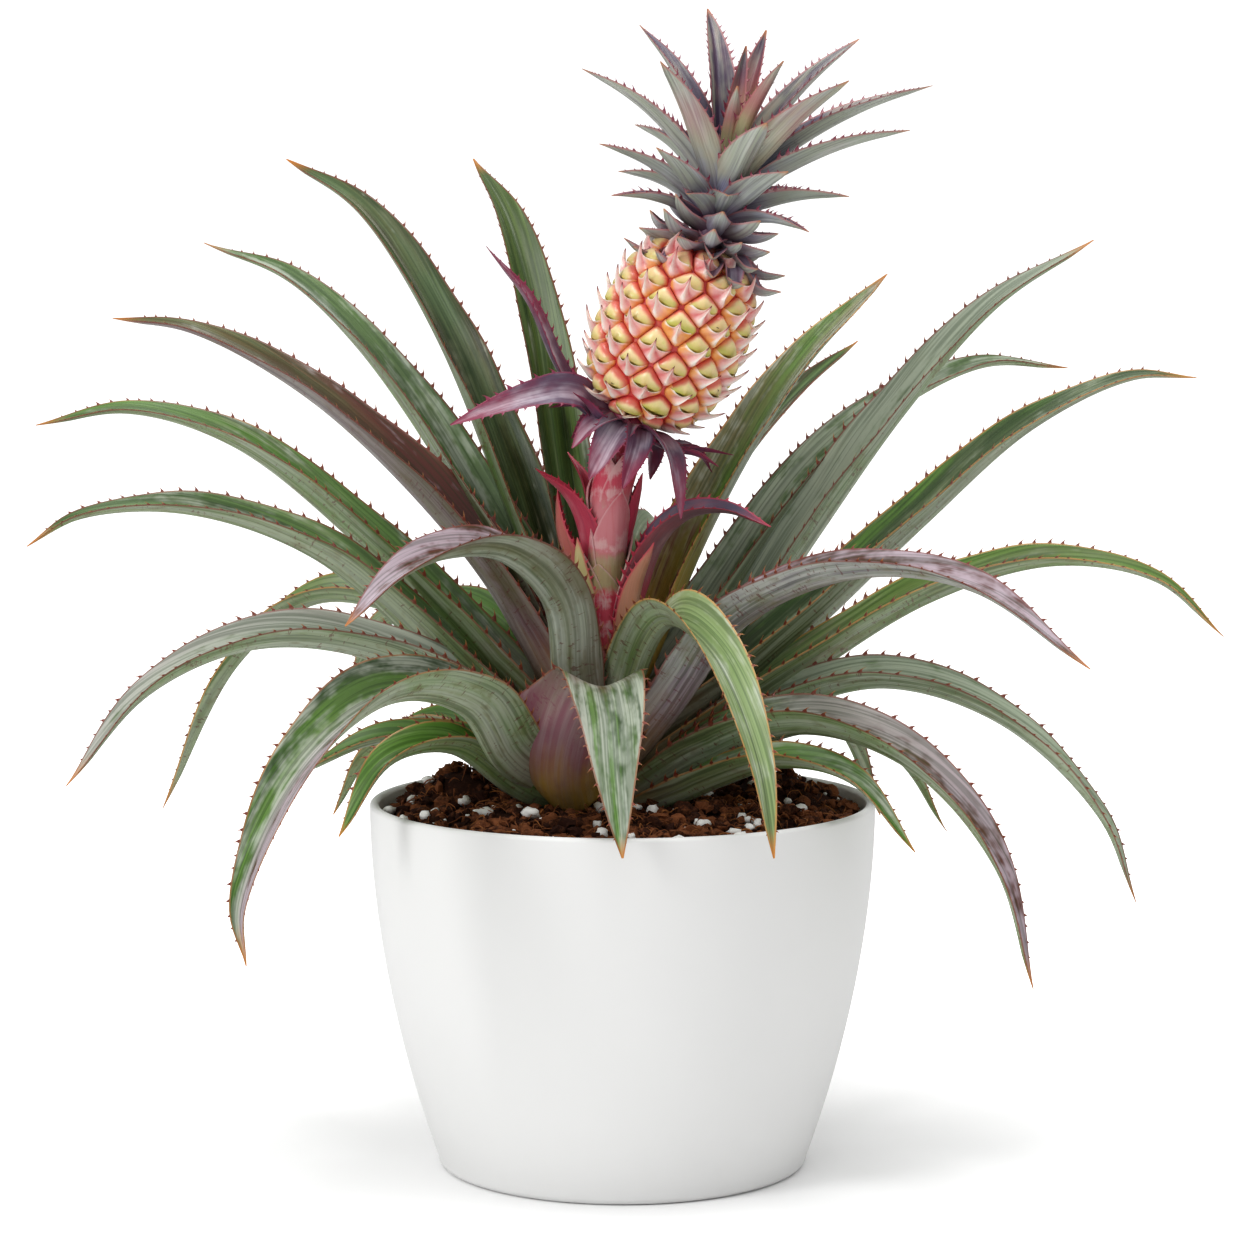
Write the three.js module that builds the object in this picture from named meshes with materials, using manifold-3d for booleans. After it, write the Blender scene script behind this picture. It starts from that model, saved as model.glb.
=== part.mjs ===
// An ornamental pineapple plant in a plain white pot, in millimetres, +Z up.
// The origin is the centre of the pot's underside. The plant grows a little left of the pot's middle:
// a short stem stands in the soil, carries a rosette of channelled, spine-edged leaves, and runs on
// as the flower stalk, which leans right and ends in a small fruit with a leafy crown.
import * as THREE from 'three';
import { ConvexHull } from 'three/addons/math/ConvexHull.js';
import { mergeVertices } from 'three/addons/utils/BufferGeometryUtils.js';
import Module from 'manifold-3d';

const wasm = await Module();
wasm.setup();

// Driving dimensions
const POT_HEIGHT = 124;
const POT_RIM_RADIUS = 85.2;
const POT_FLARE = 23.6; // how much narrower the pot is at its foot than at its rim
const POT_FLARE_POWER = 1.9;
const POT_WALL = 3.2;
const POT_FLOOR = 4.5;
const POT_FOOT_ROUND = 2.2;
const SOIL_EDGE = 118.5; // height of the soil at the pot's wall
const SOIL_MOUND = 3.5; // rise of the soil towards the stem
const SOIL_LUMP = 1.7;
const GAP = 0.35; // clearance between touching pieces
const STEM_X = -5; // the stem stands this far left of the pot's middle
const BLADE_THICKNESS = 0.85;
const LEAF_TIP_FORWARD = 18; // degrees that leaves to the left and right turn their faces forwards
const SPINE_LENGTH = 2.3;
const SPINE_FOOT = 1.5;
const FRUIT_RADIUS = 25;
const FRUIT_HALF_LENGTH = 34;
const FRUIT_TAPER = 0.06; // how much narrower the upper half is than the middle, and the lower half wider
const FRUIT_SQUARENESS = 2.5; // 2 is an ellipsoid, more is a barrel
const FRUIT_EYES = 98;
const EYE_FLAT = 0.64; // share of each eye that stands up between its sloping edges
const EYE_HEIGHT = 2.2;
const EYE_SPINE = 4.2;
const EYE_SPINE_RISE = 2.6; // how far each eye's spine points up the fruit
const FRUIT_BASE = new THREE.Vector3(2, 0, 248.5);
const FRUIT_LEAN = 24; // degrees from upright, to the right
const SEAT_RADIUS = 9.2; // flat discs at both ends of the fruit, for the stalk and the crown
const CROWN_SEAT = 2 * FRUIT_HALF_LENGTH - 1;
const CROWN_LEAN = 10.5;
const GOLDEN_ANGLE = 137.508;

const rad = THREE.MathUtils.degToRad;
const mix = THREE.MathUtils.lerp;

// Colours and finishes
const finish = (colour, roughness) => new THREE.MeshStandardMaterial({ color: colour, roughness, metalness: 0 });
const potWhite = finish(0xf2f2f0, 0.45);
const soilBrown = finish(0x3a2417, 0.95);
const leafGreen = finish(0x6f8567, 0.6);
const leafPurple = finish(0x7a6a70, 0.6);
const stalkRed = finish(0xb0525a, 0.6);
const fruitPink = finish(0xe3a081, 0.55);
const bractPurple = finish(0x8a5c72, 0.6);
const crownGrey = finish(0x8a9089, 0.6);

// Solids

// A closed geometry as a solid for joining and cutting.
function solidOf(geometry) {
  const bare = new THREE.BufferGeometry().setAttribute('position', geometry.getAttribute('position'));
  if (geometry.index) bare.setIndex(geometry.index);
  const merged = mergeVertices(bare, 1e-4);
  const vertProperties = new Float32Array(merged.getAttribute('position').array);
  const triVerts = new Uint32Array(merged.index.array);
  return new wasm.Manifold(new wasm.Mesh({ numProp: 3, vertProperties, triVerts }));
}

// A solid back as a geometry, keeping only its largest body.
function geometryOf(solid) {
  const bodies = solid.decompose().sort((a, b) => b.volume() - a.volume());
  const mesh = bodies[0].getMesh();
  const position = new Float32Array(mesh.numVert * 3);
  for (let i = 0; i < mesh.numVert; i++) {
    position.set(mesh.vertProperties.subarray(i * mesh.numProp, i * mesh.numProp + 3), i * 3);
  }
  return new THREE.BufferGeometry()
    .setAttribute('position', new THREE.BufferAttribute(position, 3))
    .setIndex(new THREE.BufferAttribute(mesh.triVerts, 1));
}

function geometryFrom(points, faces) {
  const position = new Float32Array(points.flatMap((p) => [p.x, p.y, p.z]));
  return new THREE.BufferGeometry()
    .setAttribute('position', new THREE.BufferAttribute(position, 3))
    .setIndex(faces.flat());
}

// Repeatable random numbers from 0 to 1.
function seeded(seed) {
  let state = seed;
  return () => {
    state = (state * 1664525 + 1013904223) % 4294967296;
    return state / 4294967296;
  };
}

// Blades

// How wide a blade is along its length, as a share of its widest: full near the foot, drawn to a point.
const longTaper = (t) => (0.5 + 0.5 * Math.min(1, t / 0.2)) * Math.pow(1 - Math.pow(t, 2.3), 0.95);
const shortTaper = (t) => (0.45 + 0.55 * Math.min(1, t / 0.35)) * Math.pow(1 - Math.pow(t, 2.2), 0.95);

// A channelled blade along a path, with spines on both margins.
// side is the blade's level crosswise direction at its foot. grow fattens it all round, to cut clearance with.
// channel is how steeply its halves rise from the keel, in degrees, at the foot, the middle and the tip.
function blade({ path, side, width, steps = 7, spines = 4, taper = longTaper, channel = [66, 50, 25],
  spineLength = SPINE_LENGTH, firstSpine = 0.2, grow = 0 }) {
  const curve = new THREE.CatmullRomCurve3(path, false, 'centripetal');
  const length = curve.getLength();

  // The blade's section at t: margins left and right, and the keel between them.
  function section(t, outward) {
    const centre = curve.getPointAt(t);
    const along = curve.getTangentAt(t);
    const across = side.clone().addScaledVector(along, -side.dot(along)).normalize();
    const up = new THREE.Vector3().crossVectors(along, across).normalize();
    if (t >= 1) return { tip: centre };
    const half = (width / 2) * taper(t) + outward + grow;
    const bend = rad(t < 0.5 ? mix(channel[0], channel[1], t * 2) : mix(channel[1], channel[2], t * 2 - 1));
    const reach = half * Math.cos(bend);
    const rise = half * Math.sin(bend);
    const thin = BLADE_THICKNESS * mix(1, 0.75, t);
    const place = (sideways, upward) =>
      centre.clone().addScaledVector(across, sideways).addScaledVector(up, upward);
    const [margin, keel] = [rise * 0.5, -rise * 0.5];
    return {
      along,
      top: {
        left: place(-reach, margin + grow),
        keel: place(0, keel + grow * 1.5),
        right: place(reach, margin + grow),
      },
      under: {
        left: place(-reach, margin - thin - grow),
        keel: place(0, keel - thin * 1.3 - grow * 1.5),
        right: place(reach, margin - thin - grow),
      },
    };
  }

  const points = [];
  const add = (p) => points.push(p) - 1;
  const lines = { topLeft: [], topKeel: [], topRight: [], underLeft: [], underKeel: [], underRight: [] };
  const put = (line, t, index) => lines[line].push({ t, index });
  for (let i = 0; i < steps; i++) {
    const t = i / steps;
    const s = section(t, 0);
    for (const [name, place] of [['Left', 'left'], ['Keel', 'keel'], ['Right', 'right']]) {
      put('top' + name, t, add(s.top[place]));
      put('under' + name, t, add(s.under[place]));
    }
  }
  const tip = add(section(1, 0).tip);
  for (const name of Object.keys(lines)) put(name, 1, tip);

  // Each spine is a foot, a point that leans towards the blade's tip, and a second foot.
  const foot = (SPINE_FOOT + grow) / length;
  for (const [name, place] of [['Left', 'left'], ['Right', 'right']]) {
    for (let k = 0; k < spines; k++) {
      const t = firstSpine + ((0.97 - firstSpine) * (k + (name === 'Left' ? 0.35 : 0.65))) / spines;
      for (const share of [-1, 1]) {
        const s = section(t + foot * share, 0);
        put('top' + name, t + foot * share, add(s.top[place]));
        put('under' + name, t + foot * share, add(s.under[place]));
      }
      const s = section(t, spineLength * mix(1, 0.6, t) + grow);
      const point = s.top[place].clone().add(s.under[place]).multiplyScalar(0.5);
      const index = add(point.addScaledVector(s.along, spineLength * 0.6));
      put('top' + name, t, index);
      put('under' + name, t, index);
    }
  }
  for (const line of Object.values(lines)) line.sort((a, b) => a.t - b.t);

  // Triangles between two lines of points that run along the blade.
  const faces = [];
  function zip(a, b) {
    let i = 0;
    let j = 0;
    while (i < a.length - 1 || j < b.length - 1) {
      const stepA = j === b.length - 1 || (i < a.length - 1 && a[i + 1].t <= b[j + 1].t);
      const third = stepA ? a[i + 1].index : b[j + 1].index;
      const face = [a[i].index, b[j].index, third];
      if (stepA) i++;
      else j++;
      if (new Set(face).size === 3) faces.push(face);
    }
  }
  zip(lines.topLeft, lines.topKeel);
  zip(lines.topKeel, lines.topRight);
  zip(lines.topRight, lines.underRight);
  zip(lines.underRight, lines.underKeel);
  zip(lines.underKeel, lines.underLeft);
  zip(lines.underLeft, lines.topLeft);
  const start = (name) => lines[name][0].index;
  faces.push([start('topKeel'), start('topLeft'), start('underLeft')]);
  faces.push([start('topKeel'), start('underLeft'), start('underKeel')]);
  faces.push([start('topKeel'), start('underKeel'), start('underRight')]);
  faces.push([start('topKeel'), start('underRight'), start('topRight')]);
  const made = geometryFrom(points, faces);
  return solidOf(made).volume() < 0 ? geometryFrom(points, faces.map(([a, b, c]) => [a, c, b])) : made;
}

// Points at a reach from an upright axis and a height, at an azimuth that may change on the way.
function reachPath(azimuth, points, axis = new THREE.Vector3(STEM_X, 0, 0)) {
  return points.map(([reach, height, turn = 0]) => {
    const a = rad(azimuth + turn);
    return new THREE.Vector3(Math.cos(a) * reach, Math.sin(a) * reach, height).add(axis);
  });
}

// The level direction across a leaf, and the same tipped so that leaves to either side lean forwards.
const crosswise = (azimuth) => new THREE.Vector3(-Math.sin(rad(azimuth)), Math.cos(rad(azimuth)), 0);
const tippedCrosswise = (azimuth) => {
  const level = crosswise(azimuth);
  return level.setZ(level.y * Math.tan(rad(LEAF_TIP_FORWARD))).normalize();
};

// A tube with a radius at each point of its path, closed at both ends.
function limb(path, radii, sides) {
  const curve = new THREE.CatmullRomCurve3(path, false, 'centripetal');
  const rings = radii.length;
  const points = [];
  for (let i = 0; i < rings; i++) {
    const centre = curve.getPoint(i / (rings - 1));
    const along = curve.getTangent(i / (rings - 1));
    const across = new THREE.Vector3(0, 1, 0);
    const out = new THREE.Vector3().crossVectors(across, along).normalize();
    for (let j = 0; j < sides; j++) {
      const a = (2 * Math.PI * j) / sides;
      points.push(
        centre.clone()
          .addScaledVector(out, radii[i] * Math.cos(a))
          .addScaledVector(across, radii[i] * Math.sin(a)),
      );
    }
  }
  const faces = [];
  for (let i = 0; i < rings - 1; i++) {
    for (let j = 0; j < sides; j++) {
      const next = (j + 1) % sides;
      const [a, b, c, d] = [i * sides + j, i * sides + next, (i + 1) * sides + next, (i + 1) * sides + j];
      faces.push([a, b, c], [a, c, d]);
    }
  }
  for (let j = 1; j < sides - 1; j++) {
    const last = (rings - 1) * sides;
    faces.push([0, j + 1, j], [last, last + j, last + j + 1]);
  }
  return geometryFrom(points, faces);
}

// Pot

const potOuter = (z) => POT_RIM_RADIUS - POT_FLARE * Math.pow(1 - z / POT_HEIGHT, POT_FLARE_POWER);

function pot() {
  const outer = [0.035, 0.12, 0.24, 0.38, 0.54, 0.74, 0.985].map((share) => {
    const z = share * POT_HEIGHT;
    return new THREE.Vector2(potOuter(z), z);
  });
  const inner = [0.98, 0.9, 0.54, 0.24].map((share) => {
    const z = share * POT_HEIGHT;
    return new THREE.Vector2(potOuter(z) - POT_WALL, z);
  });
  const profile = [
    new THREE.Vector2(0, 0),
    new THREE.Vector2(potOuter(0) - POT_FOOT_ROUND, 0),
    ...outer,
    new THREE.Vector2(POT_RIM_RADIUS - 0.9, POT_HEIGHT),
    new THREE.Vector2(POT_RIM_RADIUS - POT_WALL + 0.9, POT_HEIGHT),
    ...inner,
    new THREE.Vector2(potOuter(POT_FLOOR) - POT_WALL - 2, POT_FLOOR),
    new THREE.Vector2(0, POT_FLOOR),
  ];
  return new THREE.LatheGeometry(profile, 32).rotateX(Math.PI / 2);
}

// Stem, stalk and the small leaves on the stalk

const stemPath = [
  [STEM_X, 100], [STEM_X, 122], [STEM_X - 0.5, 146], [STEM_X - 1, 170], [STEM_X - 1, 190], [STEM_X - 0.5, 208],
  [STEM_X + 1, 227], [STEM_X + 3.5, 240], [FRUIT_BASE.x, FRUIT_BASE.z + 1],
].map(([x, z]) => new THREE.Vector3(x, 0, z));
const stemRadii = [6, 8, 7.4, 6.4, 5.8, 5.6, 5.3, 5.2, 5.2];
const STEM_SIDES = 10;

const stalkLeaves = [
  { azimuth: -15, width: 12, steps: 6, spines: 3,
    path: [[3, 178], [8, 198], [16, 215], [27, 222.5], [41, 223], [56, 217]] },
  { azimuth: 196, width: 9, steps: 4, spines: 1, path: [[3, 206], [8, 222], [14, 229], [25, 236]] },
  { azimuth: 172, width: 10, steps: 4, spines: 1, path: [[3, 188], [10, 205], [15, 216], [17, 229]] },
  { azimuth: 205, width: 8, steps: 3, spines: 0, path: [[3, 184], [9, 202], [9, 217]] },
  { azimuth: 10, width: 9, steps: 3, spines: 0, path: [[2, 206], [8, 222], [12, 234]] },
  { azimuth: 70, width: 11, steps: 4, spines: 1, path: [[2, 192], [9, 212], [15, 226], [27, 232]] },
  { azimuth: 125, width: 9, steps: 4, spines: 1, path: [[2, 204], [8, 220], [14, 232], [24, 240]] },
];

function stem() {
  const parts = [solidOf(limb(stemPath, stemRadii, STEM_SIDES))];
  for (const leaf of stalkLeaves) {
    const path = reachPath(leaf.azimuth, leaf.path);
    const side = crosswise(leaf.azimuth);
    parts.push(solidOf(blade({ ...leaf, path, side, channel: [60, 50, 30], taper: shortTaper })));
  }
  return wasm.Manifold.union(parts).subtract(fruitDisc(SEAT_RADIUS, 0, 20));
}

// The stem with clearance round it, which the leaves and the soil are cut by.
const stemSleeve = solidOf(limb(stemPath, stemRadii.map((r) => r + GAP), STEM_SIDES));

// Rosette leaves: each path is [reach from the stem's axis, height, turn of azimuth] from the foot to the tip.

const rosette = [
  { name: 'leaf_01', azimuth: 140, width: 34,
    path: [[7, 152], [24, 190], [41, 226], [73, 281], [112, 323], [151, 341]] },
  { name: 'leaf_02', azimuth: 152, width: 31,
    path: [[7, 147], [28, 190], [59, 236], [96, 278], [126, 300], [162, 311]] },
  { name: 'leaf_03', azimuth: 167, width: 32,
    path: [[7, 143], [30, 190], [61, 227], [102, 261], [146, 282], [175, 285]] },
  { name: 'leaf_04', azimuth: 180, width: 31,
    path: [[7, 138], [43, 177], [80, 214], [123, 246], [160, 256], [191, 250]] },
  { name: 'leaf_05', azimuth: 190, width: 29,
    path: [[7, 133], [50, 172], [96, 211], [140, 225], [176, 222], [192, 212]] },
  { name: 'leaf_06', azimuth: 203, width: 32,
    path: [[7, 128], [40, 158], [84, 181], [125, 184], [160, 169], [186, 139]] },
  { name: 'leaf_07', azimuth: 158, width: 25,
    path: [[7, 132], [45, 172], [80, 189], [111, 190], [142, 166], [171, 111]] },
  { name: 'leaf_08', azimuth: 232, width: 37,
    path: [[8, 126], [40, 141], [70, 167], [111, 173], [152, 152], [178, 112], [175, 94]] },
  { name: 'leaf_09', azimuth: 216, width: 26, steps: 6,
    path: [[9, 123], [36, 134], [62, 149], [88, 145], [106, 121]] },
  { name: 'leaf_10', azimuth: 172, width: 23, steps: 6,
    path: [[8, 124], [45, 141], [76, 145], [108, 130]] },
  { name: 'leaf_11', azimuth: 118, width: 33, firstSpine: 0.3,
    path: [[6, 157], [18, 190], [34, 236], [50, 282], [74, 320], [103, 341]] },
  { name: 'leaf_12', azimuth: 235, width: 32,
    path: [[9, 140], [20, 164], [28, 195], [55, 213], [88, 215], [114, 208], [138, 194]] },
  { name: 'leaf_13', azimuth: 42, width: 32,
    path: [[6, 156], [33, 203], [59, 238], [89, 269], [134, 300]] },
  { name: 'leaf_14', azimuth: 57, width: 22,
    path: [[6, 150], [40, 199], [80, 233], [124, 258], [170, 275]] },
  { name: 'leaf_15', azimuth: 22, width: 32,
    path: [[7, 146], [40, 172], [72, 213], [106, 254], [145, 291], [184, 312]] },
  { name: 'leaf_16', azimuth: 33, width: 29,
    path: [[7, 150], [48, 195], [84, 234], [120, 256], [160, 269], [199, 266]] },
  { name: 'leaf_17', azimuth: 8, width: 31,
    path: [[7, 140], [62, 181], [105, 219], [145, 251], [181, 266], [203, 265]] },
  { name: 'leaf_18', azimuth: 0, width: 27, firstSpine: 0.34,
    path: [[7, 133], [58, 166], [107, 195], [150, 206], [185, 199], [207, 179]] },
  { name: 'leaf_19', azimuth: -38, width: 27, steps: 8, firstSpine: 0.22,
    path: [[7, 138], [23, 157], [52, 190], [98, 208], [145, 205], [187, 181]] },
  { name: 'leaf_20', azimuth: -8, width: 25,
    path: [[7, 127], [45, 153], [91, 168], [133, 155], [166, 122], [177, 93]] },
  { name: 'leaf_21', azimuth: -27, width: 28,
    path: [[7, 124], [34, 144], [74, 156], [113, 144], [142, 112], [153, 73]] },
  { name: 'leaf_22', azimuth: -35, width: 21, steps: 6,
    path: [[9, 121], [40, 135], [71, 144], [98, 139], [120, 117]] },
  { name: 'leaf_23', azimuth: -62, width: 28,
    path: [[8, 140], [18, 172], [42, 192], [75, 182], [102, 150], [111, 120]] },
  { name: 'leaf_24', azimuth: -90, width: 36, spines: 4,
    path: [[14, 124, -40], [27, 146, -32], [43, 170, -10], [64, 163, -1], [86, 143, 2], [98, 120, 3]] },
  { name: 'leaf_25', azimuth: 100, width: 24, spines: 3,
    path: [[6, 148], [25, 170], [60, 190], [105, 192], [150, 168]] },
  { name: 'leaf_26', azimuth: 80, width: 26, spines: 3,
    path: [[6, 152], [28, 182], [60, 205], [105, 212], [150, 196]] },
  { name: 'leaf_27', azimuth: 128, width: 28, spines: 3,
    path: [[7, 138], [40, 165], [85, 184], [130, 176], [160, 142]] },
  { name: 'leaf_28', azimuth: 68, width: 26, spines: 3,
    path: [[7, 138], [40, 160], [85, 178], [125, 168], [155, 132]] },
  { name: 'leaf_29', azimuth: 110, width: 23, steps: 6, spines: 3,
    path: [[7, 128], [40, 146], [80, 158], [115, 145], [138, 106]] },
  { name: 'leaf_30', azimuth: 88, width: 18, steps: 6, spines: 3,
    path: [[8, 123], [40, 134], [75, 142], [105, 130], [120, 104]] },
  { name: 'leaf_31', azimuth: 45, width: 25, steps: 6, spines: 3,
    path: [[8, 129], [42, 147], [82, 156], [118, 140], [140, 103]] },
  { name: 'leaf_32', azimuth: 145, width: 22, steps: 6, spines: 3,
    path: [[8, 124], [40, 138], [75, 146], [104, 132], [120, 108]] },
  { name: 'leaf_33', azimuth: 20, width: 23, steps: 6, spines: 3,
    path: [[8, 124], [42, 140], [78, 147], [108, 134], [126, 106]] },
];

// Fruit

const fruitAxis = new THREE.Vector3(Math.sin(rad(FRUIT_LEAN)), 0, Math.cos(rad(FRUIT_LEAN)));
const fruitCentre = FRUIT_BASE.clone().addScaledVector(fruitAxis, FRUIT_HALF_LENGTH);
const fruitRadiusAt = (h) => {
  const barrel = Math.pow(Math.max(0, 1 - Math.pow(Math.abs(h), FRUIT_SQUARENESS)), 1 / FRUIT_SQUARENESS);
  return FRUIT_RADIUS * barrel * (1 - FRUIT_TAPER * h);
};

// Local fruit coordinates: azimuth about the axis, height from -1 to 1, radius.
function fruitPoint(azimuth, height, radius) {
  const point = new THREE.Vector3(radius * Math.cos(azimuth), radius * Math.sin(azimuth), height * FRUIT_HALF_LENGTH);
  return point.applyAxisAngle(new THREE.Vector3(0, 1, 0), rad(FRUIT_LEAN)).add(fruitCentre);
}

// A round disc on the fruit's axis, between two distances from the fruit's foot.
function fruitDisc(radius, low, high) {
  const disc = new THREE.CylinderGeometry(radius, radius, high - low, 14).rotateX(Math.PI / 2);
  disc.translate(0, 0, (low + high) / 2).rotateY(rad(FRUIT_LEAN));
  return solidOf(disc.translate(FRUIT_BASE.x, FRUIT_BASE.y, FRUIT_BASE.z));
}

// Heights that give every eye the same share of the skin.
function eyeHeights() {
  const slices = 400;
  const area = [0];
  for (let i = 0; i < slices; i++) {
    const [a, b] = [i, i + 1].map((n) => -Math.cos((Math.PI * n) / slices));
    const [ra, rb] = [fruitRadiusAt(a), fruitRadiusAt(b)];
    area.push(area[i] + (ra + rb) * Math.hypot(rb - ra, (b - a) * FRUIT_HALF_LENGTH));
  }
  return Array.from({ length: FRUIT_EYES }, (_, k) => {
    const wanted = (area[slices] * (k + 0.5)) / FRUIT_EYES;
    const i = area.findIndex((sum) => sum >= wanted);
    const share = (wanted - area[i - 1]) / (area[i] - area[i - 1]);
    return -Math.cos((Math.PI * (i - 1 + share)) / slices);
  });
}

// Each eye is a raised boss between grooves, drawn out into a spine that points up the fruit.
function fruit() {
  const heights = eyeHeights();
  const centres = heights.map((h, k) => fruitPoint(-rad(GOLDEN_ANGLE) * k, h, fruitRadiusAt(h)));
  const hull = new ConvexHull().setFromPoints(centres);
  const cells = centres.map(() => []);
  for (const face of hull.faces) {
    const corners = [];
    let edge = face.edge;
    do {
      corners.push(edge.head().point);
      edge = edge.next;
    } while (edge !== face.edge);
    const middle = corners.reduce((sum, p) => sum.add(p), new THREE.Vector3()).divideScalar(corners.length);
    for (const corner of corners) cells[centres.indexOf(corner)].push(middle);
  }
  const points = [];
  const faces = [];
  const add = (p) => points.push(p) - 1;
  const grooves = new Map();
  centres.forEach((centre, k) => {
    const spoke = centre.clone().sub(fruitCentre);
    const outward = spoke.clone().addScaledVector(fruitAxis, -0.75 * spoke.dot(fruitAxis)).normalize();
    const east = new THREE.Vector3().crossVectors(fruitAxis, outward).normalize();
    const north = new THREE.Vector3().crossVectors(outward, east);
    const turn = (p) => Math.atan2(p.clone().sub(centre).dot(north), p.clone().sub(centre).dot(east));
    const ring = cells[k].sort((a, b) => turn(a) - turn(b));
    const rims = ring.map((p) => {
      if (!grooves.has(p)) grooves.set(p, add(p.clone()));
      return grooves.get(p);
    });
    const size = Math.min(1, 0.55 + 0.45 * fruitRadiusAt(heights[k]) / FRUIT_RADIUS);
    const shoulder = ring.map((p) =>
      add(centre.clone().lerp(p, EYE_FLAT).addScaledVector(outward, EYE_HEIGHT * size)));
    const tip = centre.clone().addScaledVector(outward, EYE_SPINE * size).addScaledVector(fruitAxis, EYE_SPINE_RISE);
    const spine = add(tip);
    const n = ring.length;
    for (let i = 0; i < n; i++) {
      const j = (i + 1) % n;
      faces.push([rims[i], rims[j], shoulder[j]], [rims[i], shoulder[j], shoulder[i]]);
      faces.push([shoulder[i], shoulder[j], spine]);
    }
  });
  const foot = fruitDisc(SEAT_RADIUS, -8, GAP);
  const top = fruitDisc(SEAT_RADIUS, CROWN_SEAT - GAP, CROWN_SEAT + 12);
  return solidOf(geometryFrom(points, faces)).subtract(foot).subtract(top);
}

// Collar of bracts under the fruit

// Paths are [reach from the fruit's axis, rise above the fruit's foot], leaning with the fruit.
const collarBracts = [
  { azimuth: 197, width: 12, path: [[4, -3], [14, -2.5], [22, 1.5], [31, 7], [46, -1.5], [60, -17]] },
  { azimuth: 180, width: 10, path: [[4, -3], [15, -2], [25, 3], [31, 12], [49, 31], [68, 44]] },
  { azimuth: 240, width: 10, path: [[4, -3], [14, -3], [23, -2], [29, -9]] },
  { azimuth: 258, width: 11, path: [[4, -3], [14, -4], [22, -6], [28, -17]] },
  { azimuth: 285, width: 10, path: [[4, -3], [14, -4], [22, -4], [28, -14]] },
  { azimuth: 315, width: 11, path: [[4, -3], [14, -3], [24, -1], [35, -8]] },
  { azimuth: 345, width: 9, path: [[4, -3], [16, -3], [27, 1], [36, 2]] },
  { azimuth: 20, width: 9, path: [[4, -3], [16, -3], [27, 0], [38, -6]] },
  { azimuth: 55, width: 10, path: [[4, -3], [14, -4], [22, -7], [28, -17]] },
  { azimuth: 90, width: 11, path: [[4, -3], [16, -3], [27, 0], [42, -12]] },
  { azimuth: 130, width: 10, path: [[4, -3], [14, -4], [22, -5], [28, -15]] },
];

// A ring round the top of the stalk, below the fruit, that the bracts grow from.
function collar() {
  const parts = [fruitDisc(SEAT_RADIUS - 0.2, -5, -0.1)];
  const tilt = new THREE.Matrix4().makeRotationY(rad(FRUIT_LEAN)).setPosition(FRUIT_BASE);
  for (const bract of collarBracts) {
    const path = reachPath(bract.azimuth, bract.path, new THREE.Vector3());
    const long = bract.path.at(-1)[0] > 38;
    const leaf = solidOf(blade({ path, side: crosswise(bract.azimuth), width: bract.width, steps: long ? 6 : 4,
      spines: long ? 2 : 0, taper: shortTaper, channel: [15, 30, 25], spineLength: 1.6 }));
    parts.push(leaf.transform(tilt.elements));
  }
  return wasm.Manifold.union(parts).subtract(stemSleeve);
}

// Crown

const crownBase = FRUIT_BASE.clone().addScaledVector(fruitAxis, CROWN_SEAT);
const CROWN_CORE_HEIGHT = 30;
const CROWN_CORE_RADII = [6.5, 6.5, 5, 3];

// Each crown leaf: azimuth, height of its foot on the core, reach and rise of its tip, width, and how steeply
// it leaves the core, in degrees.
const crownLeaves = [
  [168, 16, 54, 47, 14, 55], [140, 19, 48, 66, 15, 68], [112, 22, 40, 76, 16, 75], [70, 24, 16, 71, 12, 85],
  [40, 20, 49, 75, 14, 65], [12, 16, 65, 63, 16, 55], [-8, 12, 58, 46, 15, 50], [-14, 7, 43, 21, 12, 40],
  [-35, 4, 37, 7, 10, 35], [190, 8, 43, 23, 12, 45], [202, 4, 38, 7, 10, 35], [225, 14, 39, 52, 18, 62],
  [-40, 15, 44, 57, 19, 60], [-55, 25, 21, 62, 11, 78], [95, 27, 5, 64, 10, 88], [-68, 13, 27, 39, 19, 60],
  [-48, 8, 30, 25, 18, 45], [-100, 25, 6, 56, 11, 88], [215, 9, 29, 25, 16, 45], [-85, 8, 24, 14, 15, 40],
  [245, 6, 27, 12, 14, 40], [95, 16, 50, 50, 15, 60], [60, 12, 52, 38, 15, 52], [130, 12, 50, 33, 15, 50],
  [35, 8, 41, 21, 12, 45], [80, 9, 40, 20, 14, 42], [150, 7, 40, 16, 12, 42], [115, 6, 36, 8, 12, 38],
];
const CROWN_SCALES = 6; // small curled leaves round the foot of the crown

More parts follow.
